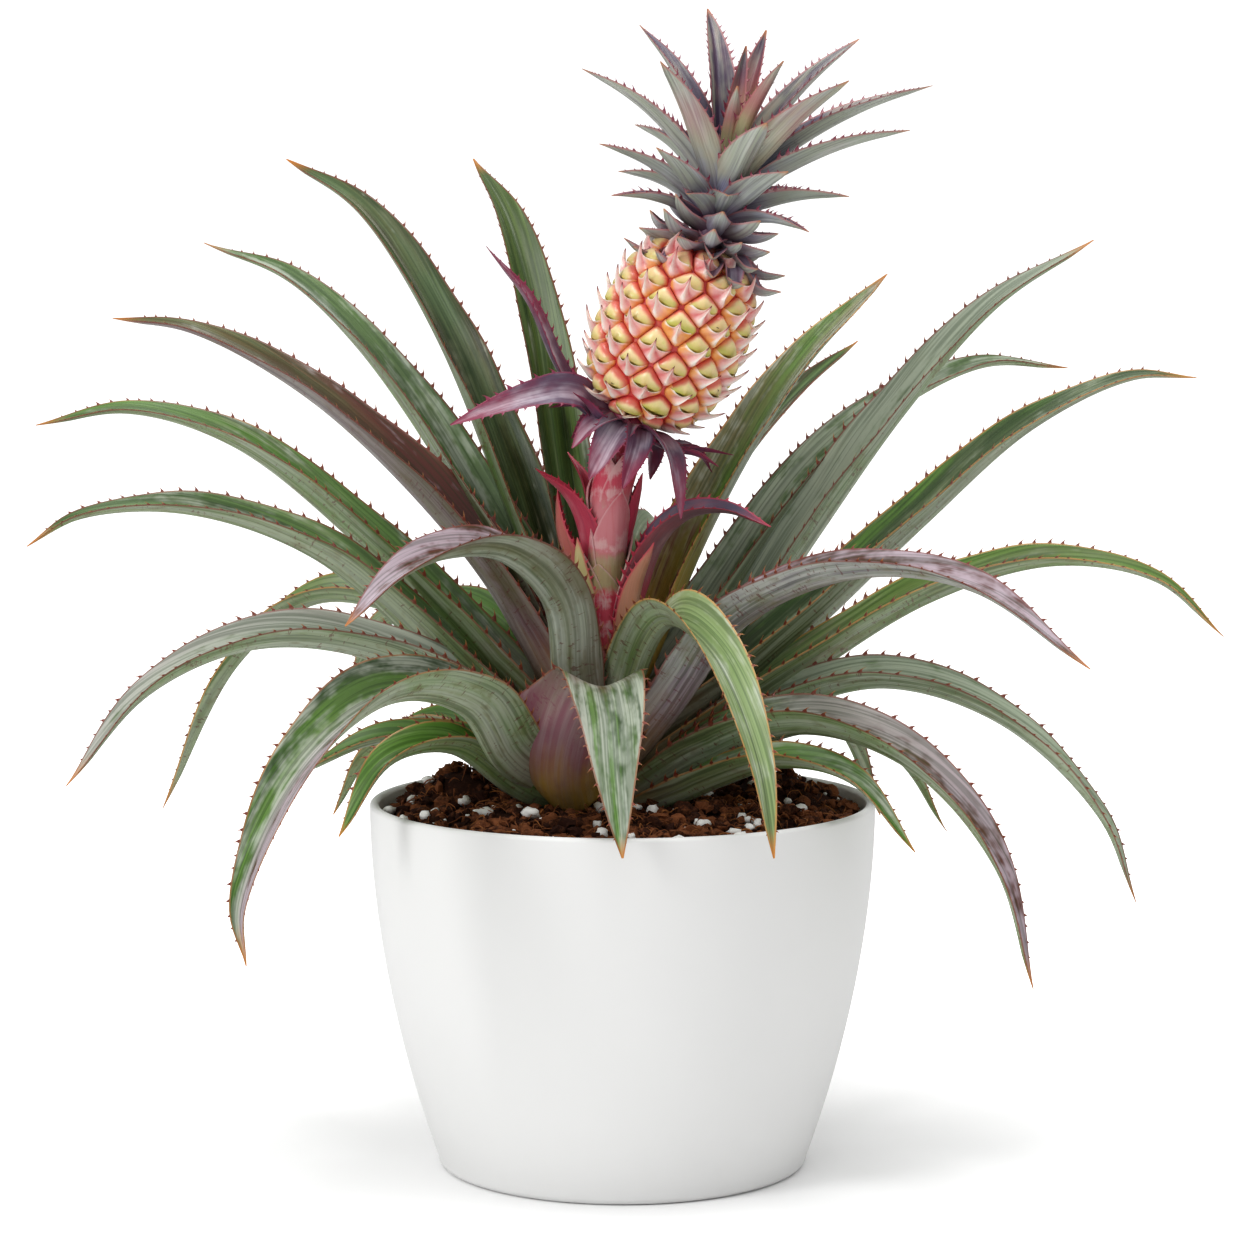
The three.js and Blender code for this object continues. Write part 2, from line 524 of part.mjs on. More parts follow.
function crown() {
  const corePath = [-4, 10, 20, CROWN_CORE_HEIGHT].map((z) => new THREE.Vector3(0, 0, z));
  const upright = [solidOf(limb(corePath, CROWN_CORE_RADII, 8))];
  const shapes = crownLeaves.map(([azimuth, foot, reach, rise, width, lift]) => ({
    azimuth, foot, reach, rise, width, lift, spines: reach > 36 ? 2 : 1,
  }));
  for (let k = 0; k < CROWN_SCALES; k++) {
    const step = k % 3;
    shapes.push({
      azimuth: 20 + k * GOLDEN_ANGLE, foot: 4, reach: 20 + 3 * step, rise: 8 - 2 * step, width: 9, lift: 35, spines: 0,
    });
  }
  for (const { azimuth, foot, reach, rise, width, lift, spines } of shapes) {
    const span = Math.hypot(reach - 3, rise - foot);
    const knee = [3 + Math.cos(rad(lift)) * span * 0.5, foot + Math.sin(rad(lift)) * span * 0.5];
    const path = new THREE.QuadraticBezierCurve3(
      ...reachPath(azimuth, [[3, foot], knee, [reach, rise]], new THREE.Vector3()),
    ).getPoints(4);
    upright.push(solidOf(blade({ path, side: crosswise(azimuth), width, steps: reach > 47 ? 4 : 3, spines,
      taper: shortTaper, channel: [50, 42, 25], spineLength: 1.8 })));
  }
  const turn = new THREE.Matrix4().makeRotationY(rad(CROWN_LEAN)).setPosition(crownBase);
  const leaning = wasm.Manifold.union(upright).transform(turn.elements);
  return leaning.subtract(fruitDisc(30, CROWN_SEAT - 30, CROWN_SEAT));
}

// Soil

// Coarse lumps, heaped a little towards the stem, with a plain hole that the stem stands in.
function soil() {
  const segments = 26;
  const random = seeded(7);
  const hole = stemRadii[1] + GAP + 0.3;
  const rings = [
    { r: hole, z: 99, centre: STEM_X, lump: 0 },
    { r: hole, z: SOIL_EDGE - 1.5, centre: STEM_X, lump: 0 },
    { r: 17, z: SOIL_EDGE - 0.5, centre: STEM_X, lump: 0.4 },
    ...[29, 41, 52, 63].map((r) => ({
      r, z: SOIL_EDGE + SOIL_MOUND * Math.cos((Math.PI * r) / 170), centre: STEM_X * (1 - r / 80), lump: SOIL_LUMP,
    })),
    { r: potOuter(SOIL_EDGE) - POT_WALL - GAP - 1, z: SOIL_EDGE, centre: 0, lump: 0.9 },
    ...[0.54, 0.24].map((share) => ({
      r: potOuter(share * POT_HEIGHT) - POT_WALL - GAP - 1, z: share * POT_HEIGHT, centre: 0, lump: 0,
    })),
    { r: potOuter(POT_FLOOR) - POT_WALL - 4, z: POT_FLOOR + GAP, centre: 0, lump: 0 },
  ];
  const points = [];
  for (const { r, z, centre, lump } of rings) {
    for (let j = 0; j < segments; j++) {
      const a = (2 * Math.PI * j) / segments;
      points.push(new THREE.Vector3(centre + r * Math.cos(a), r * Math.sin(a), z + lump * (2 * random() - 1)));
    }
  }
  const faces = [];
  for (let i = 0; i < rings.length - 1; i++) {
    for (let j = 0; j < segments; j++) {
      const next = (j + 1) % segments;
      const [a, b, c, d] = [i * segments + j, i * segments + next, (i + 1) * segments + next, (i + 1) * segments + j];
      faces.push([a, c, b], [a, d, c]);
    }
  }
  const holeFloor = points.push(new THREE.Vector3(STEM_X, 0, rings[0].z)) - 1;
  const under = points.push(new THREE.Vector3(0, 0, rings.at(-1).z)) - 1;
  const last = (rings.length - 1) * segments;
  for (let j = 0; j < segments; j++) {
    const next = (j + 1) % segments;
    faces.push([holeFloor, j, next], [under, last + next, last + j]);
  }
  return geometryFrom(points, faces);
}

// Assembly

const plant = new THREE.Group();

function place(name, geometry, material) {
  const mesh = new THREE.Mesh(geometry, material);
  mesh.name = name;
  plant.add(mesh);
}

place('pot', pot(), potWhite);
place('soil', soil(), soilBrown);
place('stem', geometryOf(stem()), stalkRed);
place('fruit', geometryOf(fruit()), fruitPink);
place('fruit_collar', geometryOf(collar()), bractPurple);
place('crown', geometryOf(crown()), crownGrey);
const cleared = [];
for (const leaf of rosette) {
  const shape = { ...leaf, path: reachPath(leaf.azimuth, leaf.path), side: tippedCrosswise(leaf.azimuth) };
  const made = solidOf(blade(shape)).subtract(wasm.Manifold.union([stemSleeve, ...cleared]));
  cleared.push(solidOf(blade({ ...shape, spines: 0, grow: GAP + 0.15 })));
  const purple = ['leaf_03', 'leaf_19', 'leaf_21'].includes(leaf.name);
  place(leaf.name, geometryOf(made), purple ? leafPurple : leafGreen);
}

export default plant;
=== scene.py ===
"""An ornamental pineapple plant in a plain white pot, dressed in fine detail.

The frame gives the plain solids. Each operator below builds one piece, or one group of like pieces, that
stands in for them: leaves with hooked spines, the fruit's eyes and bracts, the crown, the stalk with its
small leaves, the potting mix, the pot and the studio round it. Lengths in the tables are in millimetres.
"""

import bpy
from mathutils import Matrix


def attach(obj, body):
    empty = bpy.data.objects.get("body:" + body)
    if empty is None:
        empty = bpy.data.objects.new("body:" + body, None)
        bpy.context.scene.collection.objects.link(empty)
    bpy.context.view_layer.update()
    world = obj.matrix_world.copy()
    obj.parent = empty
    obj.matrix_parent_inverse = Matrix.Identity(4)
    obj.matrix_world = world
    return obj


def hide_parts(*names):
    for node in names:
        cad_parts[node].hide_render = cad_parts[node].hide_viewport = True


bl_info = {
    "name": "Potted pineapple plant",
    "version": (1, 0, 0),
    "blender": (4, 5, 0),
    "location": "3D View > Sidebar > Plant",
    "description": "Builds the leaves, fruit, crown, stalk, potting mix and pot of a small pineapple plant",
    "category": "Add Mesh",
}

import math
import random
from typing import NamedTuple

import bmesh
import bpy
import numpy as np
from bpy.props import FloatProperty, FloatVectorProperty, IntProperty, PointerProperty
from mathutils import Matrix, Vector, noise

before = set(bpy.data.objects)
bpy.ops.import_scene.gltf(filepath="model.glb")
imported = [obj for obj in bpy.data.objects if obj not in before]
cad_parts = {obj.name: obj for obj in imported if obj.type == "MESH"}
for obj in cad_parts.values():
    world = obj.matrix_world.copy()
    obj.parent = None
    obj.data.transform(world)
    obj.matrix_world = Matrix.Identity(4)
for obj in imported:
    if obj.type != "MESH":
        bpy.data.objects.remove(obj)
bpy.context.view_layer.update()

MM = 0.001
UP = np.array([0.0, 0.0, 1.0])


def colour(hex_code):
    """A colour written as red, green and blue bytes, as the light values that Blender works in."""
    channels = [((hex_code >> shift) & 255) / 255 for shift in (16, 8, 0)]
    return tuple(c / 12.92 if c <= 0.04045 else ((c + 0.055) / 1.055) ** 2.4 for c in channels)


# Sizes and colours that a user would change


def paint(name, hex_code, description):
    return FloatVectorProperty(
        name=name, description=description, subtype="COLOR", size=3, min=0, max=1, default=colour(hex_code)
    )


def length(name, millimetres, description):
    return FloatProperty(
        name=name, description=description, default=millimetres * MM, min=0, unit="LENGTH", subtype="DISTANCE"
    )


class PotSettings(bpy.types.PropertyGroup):
    height: length("Height", 124, "Height of the pot")
    rim_radius: length("Rim radius", 85.2, "Outer radius of the pot at its rim")
    flare: length("Flare", 23.6, "How much narrower the pot is at its foot than at its rim")
    wall: length("Wall", 3.2, "Thickness of the pot's wall")
    floor: length("Floor", 4.5, "Thickness of the pot's floor")
    white: paint("White", 0xE9E9E8, "Colour of the pot")


class SoilSettings(bpy.types.PropertyGroup):
    edge: length("Edge height", 118.5, "Height of the potting mix at the pot's wall")
    mound: length("Mound", 4.5, "Rise of the potting mix towards the stem")
    crumbs: IntProperty(name="Crumbs", description="How many crumbs lie on top", default=1700, min=0)
    fibres: IntProperty(name="Fibres", description="How many loose fibres lie on top", default=620, min=0)
    grains: IntProperty(name="Perlite grains", description="How many white grains lie on top", default=150, min=0)
    brown: paint("Brown", 0x96603F, "Colour of the crumbs")
    dark: paint("Dark brown", 0x40241A, "Colour of the damp crumbs between")
    fibre: paint("Fibre", 0xB87C4C, "Colour of the loose fibres")
    perlite: paint("Perlite", 0xFCFBF8, "Colour of the white grains")


class LeafSettings(bpy.types.PropertyGroup):
    thickness: length("Thickness", 1.15, "Thickness of a leaf at its keel")
    spine: length("Spine", 3.0, "Length of a spine near a leaf's foot")
    spacing: length("Spine spacing", 6.0, "Distance between the spines of a margin")
    green: paint("Green", 0x66903A, "Fresh green of the upper face")
    deep: paint("Deep green", 0x1E3A14, "Dark green of the upper face")
    grey: paint("Grey green", 0x62774F, "Dull green of the upper face")
    pale: paint("Pale green", 0xAFBA92, "Pale stripes of the upper face")
    olive: paint("Olive", 0x665826, "Olive brown of the upper face")
    purple: paint("Purple brown", 0x642C2A, "Purple brown of the upper face")
    bloom: paint("Bloom", 0xCFD5C8, "Pale bloom that wears off in streaks")
    mauve: paint("Mauve bloom", 0xCCBEC8, "Bloom over purple")
    under: paint("Underside", 0x76855A, "Grey green of the underside")
    under_purple: paint("Purple underside", 0x8E878E, "Underside of a purple leaf")
    flush: paint("Flush", 0x8A4A60, "Purple red flush at a leaf's foot")
    heel: paint("Heel", 0xC8A844, "Yellow brown of the lowest part of the foot")
    margin: paint("Margin", 0x7C3A2C, "Thin line along the margins, and the spines")
    spine_tip: paint("Spine tip", 0xE0A860, "Pale tips of some spines")
    tip: paint("Dry tip", 0xC8802E, "Orange brown of the dry tips")


class FruitSettings(bpy.types.PropertyGroup):
    radius: length("Radius", 22.6, "Radius of the fruit's skin at its middle")
    half_length: length("Half length", 30.8, "Half the length of the fruit")
    eyes: IntProperty(name="Eyes", description="How many eyes the fruit has", default=98, min=8)
    stand: length("Bract height", 6.4, "How far the tips of the bracts stand off the skin")
    bract: paint("Bract", 0xFBCDC6, "Pale pink of the bracts")
    glow: paint("Glow", 0xF6AE66, "Yellow at the foot of the bracts")
    eye: paint("Eye", 0xBEBB52, "Yellow green of the eyes")
    cream: paint("Cream", 0xF8E2B0, "Cream at the crest of the eyes")
    white: paint("Ridge", 0xFFF8EE, "Cream white of the bracts' ridges")
    coral: paint("Coral", 0xD43C46, "Red of the grooves and edges")
    spike: paint("Spike", 0x7E2430, "Dark red of the bracts' points")
    dry: paint("Dry flower", 0x3A2416, "Brown of the dry flowers")


class CrownSettings(bpy.types.PropertyGroup):
    spine: length("Spine", 3.0, "Length of the spines")
    grey: paint("Grey", 0xA8B09E, "Dull grey green of the outer leaves")
    slate: paint("Slate", 0xA0A2C8, "Grey violet near the leaves' feet")
    pale: paint("Bloom", 0xD6D6D6, "Pale bloom in streaks")
    dark: paint("Dark", 0x4E4058, "Dark purple of the upper faces")
    wine: paint("Wine", 0x8C3450, "Wine red of the bracts at the crown's foot")
    young: paint("Young", 0xC4BE86, "Yellow green of the young leaves")
    pink: paint("Pink", 0xB86E70, "Pink at the heart and along the margins")
    collar: paint("Collar", 0x565066, "Purple of the bracts under the fruit")
    collar_pale: paint("Collar bloom", 0xE0D2DC, "Pale bloom on those bracts")


class StalkSettings(bpy.types.PropertyGroup):
    red: paint("Red", 0xC8465C, "Red of the stalk and its small leaves")
    pale: paint("Pale", 0xDDB4B4, "Pale bloom on the stalk's sheaths")
    green: paint("Khaki", 0xA69A72, "Khaki at the sheaths' feet")


class StudioSettings(bpy.types.PropertyGroup):
    key: FloatProperty(name="Key", description="Power of the soft key light", default=11.0, min=0, unit="POWER")
    top: FloatProperty(name="Top", description="Power of the soft light overhead", default=15.0, min=0, unit="POWER")
    sky: FloatProperty(name="Surround", description="Light from the white surround", default=0.5, min=0)
    # The floor glow is light painted into the floor, which only the camera sees, with a painted shadow near the pot.
    glow: FloatProperty(name="Floor glow", description="Light from the lit floor", default=0.6, min=0)
    white: paint("White", 0xFBFBFB, "Colour of the floor")


SETTINGS = {
    "plant_pot": PotSettings,
    "plant_soil": SoilSettings,
    "plant_leaves": LeafSettings,
    "plant_fruit": FruitSettings,
    "plant_crown": CrownSettings,
    "plant_stalk": StalkSettings,
    "plant_studio": StudioSettings,
}


# Shaders


class Wire:
    """An output socket. Sums on wires add Math nodes."""

    def __init__(self, nodes, socket):
        self.nodes = nodes
        self.socket = socket

    def math(self, operation, *values):
        return self.nodes.node("ShaderNodeMath", {"operation": operation}, dict(enumerate(values)))

    def __add__(self, other):
        return self.math("ADD", self, other)

    def __radd__(self, other):
        return self.math("ADD", other, self)

    def __sub__(self, other):
        return self.math("SUBTRACT", self, other)

    def __rsub__(self, other):
        return self.math("SUBTRACT", other, self)

    def __mul__(self, other):
        return self.math("MULTIPLY", self, other)

    def __rmul__(self, other):
        return self.math("MULTIPLY", other, self)

    def __pow__(self, other):
        return self.math("POWER", self, other)

    def __abs__(self):
        return self.math("ABSOLUTE", self)


class Nodes:
    """The nodes that are added to a material or to the surround."""

    def __init__(self, tree):
        self.tree = tree

    def feed(self, socket, value):
        """Links a wire to a socket, or sets the socket's value."""
        if isinstance(value, Wire):
            self.tree.links.new(value.socket, socket)
        elif hasattr(value, "__len__") and socket.type == "RGBA":
            socket.default_value = (*value[:3], 1)
        else:
            socket.default_value = value

    def node(self, kind, settings=None, inputs=None, output=0):
        """Adds a node: its settings first, then its sockets' values or links."""
        made = self.tree.nodes.new(kind)
        for key, value in (settings or {}).items():
            setattr(made, key, value)
        for key, value in (inputs or {}).items():
            self.feed(made.inputs[key], value)
        return Wire(self, made.outputs[output])


class Finish(Nodes):
    """A material, and the patterns that it is made of."""

    def __init__(self, name, roughness=0.5, **constants):
        self.material = bpy.data.materials.new(name)
        self.material.use_nodes = True
        super().__init__(self.material.node_tree)
        self.set(Roughness=roughness, **constants)

    def set(self, **sockets):
        """Sets or links the shader's own sockets, with _ for a space in their names."""
        for key, value in sockets.items():
            self.feed(self.tree.nodes["Principled BSDF"].inputs[key.replace("_", " ")], value)

    def values(self, names):
        """Numbers that the mesh carries at each of its points."""
        return [self.node("ShaderNodeAttribute", {"attribute_name": name}, output="Fac") for name in names.split()]

    def vector(self, name):
        """A vector that the mesh carries at each of its points."""
        return self.node("ShaderNodeAttribute", {"attribute_name": name}, output="Vector")

    def place(self):
        """Where a point is on the plant, in metres."""
        return self.node("ShaderNodeTexCoord", output="Object")

    def split(self, vector):
        """The three numbers of a vector."""
        node = self.node("ShaderNodeSeparateXYZ", inputs={0: vector}).socket.node
        return [Wire(self, output) for output in node.outputs]

    def noise(self, vector, scale, detail=3.0, roughness=0.5):
        """Noise about 0, mostly less than 0.3 from it, and finer with a larger scale, or scales for the three axes."""
        if isinstance(scale, tuple):
            vector = self.node("ShaderNodeVectorMath", {"operation": "MULTIPLY"}, {0: vector, 1: scale})
            scale = 1.0
        inputs = {"Vector": vector, "Scale": scale, "Detail": detail, "Roughness": roughness}
        return self.node("ShaderNodeTexNoise", inputs=inputs) - 0.5

    def fade(self, value, low, high):
        """0 at low and 1 at high, with soft ends."""
        inputs = {"Value": value, "From Min": low, "From Max": high}
        return self.node("ShaderNodeMapRange", {"interpolation_type": "SMOOTHSTEP"}, inputs)

    def mixed(self, share, first, second):
        """A colour between two colours."""
        inputs = {0: share, 6: first, 7: second}
        return self.node("ShaderNodeMix", {"data_type": "RGBA", "clamp_factor": True}, inputs, output=2)

    def over(self, first, second, value, low, high, most=1):
        """A colour that turns into a second one, by at most a share, as a value goes from low to high."""
        share = self.fade(value, low, high)
        return self.mixed(share if most == 1 else share * most, first, second)

    def bump(self, height, distance, strength=1.0):
        inputs = {"Height": height, "Distance": distance, "Strength": strength}
        return self.node("ShaderNodeBump", inputs=inputs, output="Normal")


# Shapes


class Shape:
    """The points, faces and surface values of one piece, gathered before its mesh is made."""

    def __init__(self):
        self.points = []
        self.faces = []
        self.values = []
        self.count = 0

    def add(self, points, faces, **values):
        points = np.asarray(points, float).reshape(-1, 3)
        self.points.append(points)
        self.faces.extend((np.asarray(face) + self.count).tolist() for face in faces)
        self.values.append((len(points), values))
        self.count += len(points)

    def piece(self, name, material, crease=None):
        """The finished object. Edges sharper than crease degrees stay crisp."""
        mesh = bpy.data.meshes.new(name)
        mesh.from_pydata(np.vstack(self.points).tolist(), [], self.faces)
        mesh.shade_smooth()
        if crease:
            mesh.set_sharp_from_angle(angle=math.radians(crease))
        for key in sorted({key for _, values in self.values for key in values}):
            self.write(mesh, key)
        mesh.materials.append(material)
        made = bpy.data.objects.new(name, mesh)
        bpy.context.scene.collection.objects.link(made)
        return made

    def write(self, mesh, key):
        """One surface value, a number or three, at every point of the mesh."""
        wide = any(isinstance(values.get(key), tuple) or np.ndim(values.get(key)) == 2 for _, values in self.values)
        columns = []
        for count, values in self.values:
            size = (count, 3) if wide else (count,)
            columns.append(np.broadcast_to(np.asarray(values.get(key, 0.0), float), size))
        kind, field = ("FLOAT_VECTOR", "vector") if wide else ("FLOAT", "value")
        layer = mesh.attributes.new(key, kind, "POINT")
        layer.data.foreach_set(field, np.concatenate(columns).astype(np.float32).ravel())


def mix(a, b, share):
    return a + (b - a) * share


def unit(vectors):
    return vectors / np.linalg.norm(vectors, axis=-1, keepdims=True)


def smooth_path(points, count):
    """Even steps along a smooth curve through points, the directions there and the curve's length."""
    knots = np.asarray(points, float)
    knots = np.vstack([2 * knots[0] - knots[1], knots, 2 * knots[-1] - knots[-2]])
    share = np.linspace(0, 1, 33)[:, None]
    fine = []
    for p0, p1, p2, p3 in zip(knots, knots[1:], knots[2:], knots[3:]):
        d0, d1, d2 = (math.sqrt(np.linalg.norm(b - a)) for a, b in ((p0, p1), (p1, p2), (p2, p3)))
        start = ((p1 - p0) / d0 - (p2 - p0) / (d0 + d1) + (p2 - p1) / d1) * d1
        end = ((p2 - p1) / d1 - (p3 - p1) / (d1 + d2) + (p3 - p2) / d2) * d1
        square = -3 * p1 + 3 * p2 - 2 * start - end
        cube = 2 * p1 - 2 * p2 + start + end
        fine.append(p1 + share * (start + share * (square + share * cube)))
    fine = np.vstack(fine)
    run = np.concatenate([[0], np.cumsum(np.linalg.norm(np.diff(fine, axis=0), axis=1))])
    at = np.linspace(0, run[-1], count)
    centres = np.stack([np.interp(at, run, fine[:, axis]) for axis in range(3)], axis=1)
    return centres, unit(np.gradient(centres, axis=0)), run[-1]


def reach_path(azimuth, points, axis=(0, 0)):
    """Points from rows of reach, height and turn of azimuth, in millimetres and degrees, about an upright axis."""
    path = []
    for reach, height, *turn in points:
        a = math.radians(azimuth + (turn[0] if turn else 0))
        path.append([axis[0] + math.cos(a) * reach, axis[1] + math.sin(a) * reach, height])
    return np.array(path) * MM


def crosswise(azimuth, rise=0.0):
    """The direction across a blade. Rise is how steeply it goes up, as a share of its level run."""
    a = math.radians(azimuth)
    return unit(np.array([-math.sin(a), math.cos(a), rise]))


def steep(degrees):
    return math.tan(math.radians(degrees))


def leaning(degrees):
    """The turn of a thing that leans to the right."""
    return np.array(Matrix.Rotation(math.radians(degrees), 3, "Y"))


def rolled(rings):
    """Faces round and along rings of points, whose normals face away from the rings' middles."""
    count, around = rings
    index = np.arange(count * around).reshape(count, around)
    lower, upper = index[:-1], index[1:]
    quads = np.stack([lower, upper, np.roll(upper, -1, 1), np.roll(lower, -1, 1)], axis=-1).reshape(-1, 4)
    return [*quads, index[0], index[-1][::-1]]


def slab(shape, outer, inner, **values):
    """A closed thin sheet between two grids of points."""
    grid = outer.shape[:2]
    count = grid[0] * grid[1]
    index = np.arange(count).reshape(grid)
    sheet = np.stack([index[:-1, :-1], index[:-1, 1:], index[1:, 1:], index[1:, :-1]], axis=-1).reshape(-1, 4)
    border = np.concatenate([index[0], index[1:, -1], index[-1, -2::-1], index[-2:0:-1, 0]])
    after = np.roll(border, -1)
    walls = np.stack([border, border + count, after + count, after], axis=-1)
    doubled = {key: np.tile(np.broadcast_to(value, grid).ravel(), 2) for key, value in values.items()}
    shape.add(np.concatenate([outer.reshape(-1, 3), inner.reshape(-1, 3)]),
              [*sheet, *(sheet + count)[:, ::-1], *walls], **doubled)


def tube(shape, centres, radii, sides, **values):
    """A round rod along points, closed at both ends."""
    centres = np.asarray(centres, float)
    along = unit(np.gradient(centres, axis=0))
    start = unit(np.cross(along[0], UP if abs(along[0][2]) < 0.9 else np.array([1.0, 0, 0])))
    angles = np.linspace(0, 2 * math.pi, sides, endpoint=False)
    rings = []
    for centre, direction, radius in zip(centres, along, radii):
        start = unit(start - direction * (direction @ start))
        other = np.cross(direction, start)
        rings.append([centre + radius * (math.cos(a) * start - math.sin(a) * other) for a in angles])
    shape.add(np.array(rings), rolled((len(rings), sides)), **values)


def spun(shape, profile, sides, **values):
    """A closed profile of radius and height turned about the upright axis."""
    angles = np.linspace(0, 2 * math.pi, sides, endpoint=False)
    profile = np.asarray(profile)
    rings = np.stack([profile[:, :1] * np.cos(angles), profile[:, :1] * np.sin(angles),
                      np.repeat(profile[:, 1:], sides, axis=1)], axis=-1)
    index = np.arange(len(profile) * sides).reshape(len(profile), sides)
    quads = np.stack([index[:-1], np.roll(index[:-1], -1, 1), np.roll(index[1:], -1, 1), index[1:]], axis=-1)
    shape.add(rings, [*quads.reshape(-1, 4), index[0][::-1], index[-1]], **values)


def settle(piece, slot, *nodes):
    """Puts a piece on the plant's body and lets it stand for plain solids, whose parts it hides. The slot is not used.
    """
    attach(piece, "root")
    if nodes:
        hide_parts(*nodes)


# Blades: leaves and bracts

WAVE_LENGTH = 0.03  # of the waves in a margin
POINT_WIDTH = 0.12 * MM  # half the width of a blade at its tip
MARGIN_BULGE = 0.22 * MM  # how far a blade's rounded margins stand out
LAST_SPINE = 0.965  # share of a blade's length
SPINE_BOW = np.array([-0.22, 0.08, 0.4, 0.72, 1.0])  # places along a spine, from its sunk root to its point
SPINE_THICKNESS = np.array([1.0, 0.85, 0.46, 0.22, 0.03])  # at those places


def long_taper(t):
    return (0.5 + 0.5 * np.minimum(1, t / 0.2)) * (1 - t**2.3) ** 0.95


def short_taper(t):
    return (0.45 + 0.55 * np.minimum(1, t / 0.35)) * (1 - t**2.2) ** 0.95


class Look(NamedTuple):
    """How a blade is coloured, mostly from 0 to 1."""

    purple: float = 0.0  # purple of the upper face near the foot
    purple_tip: float = 0.0  # purple of the upper face near the tip
    lean: float = 0.0  # how much more purple and pale the side to the right of the keel is, seen from the foot
    fresh: float = 0.5  # fresh green rather than grey green
    bloom: float = 0.2  # pale bloom on the upper face
    under: float = 0.0  # purple of the underside
    olive: float = 0.0  # olive brown of the upper face
    dark: float = 0.0  # dark streaks of the upper face
    flush: float = 0.4  # purple red of the foot

    def at(self, t, s):
        """The surface values at places along and across a blade."""
        t, s = (part.ravel() for part in np.broadcast_arrays(np.asarray(t, float), np.asarray(s, float)))
        purple = mix(self.purple, self.purple_tip, t) + self.lean * s
        bloom = self.bloom + 0.4 * self.lean * s
        even = np.ones_like(t)
        return {
            "tone": np.stack([purple, self.fresh * even, bloom], axis=-1),
            "shade": np.stack([self.under * even, self.olive * even, self.dark * even], axis=-1),
            "flush": self.flush,
        }


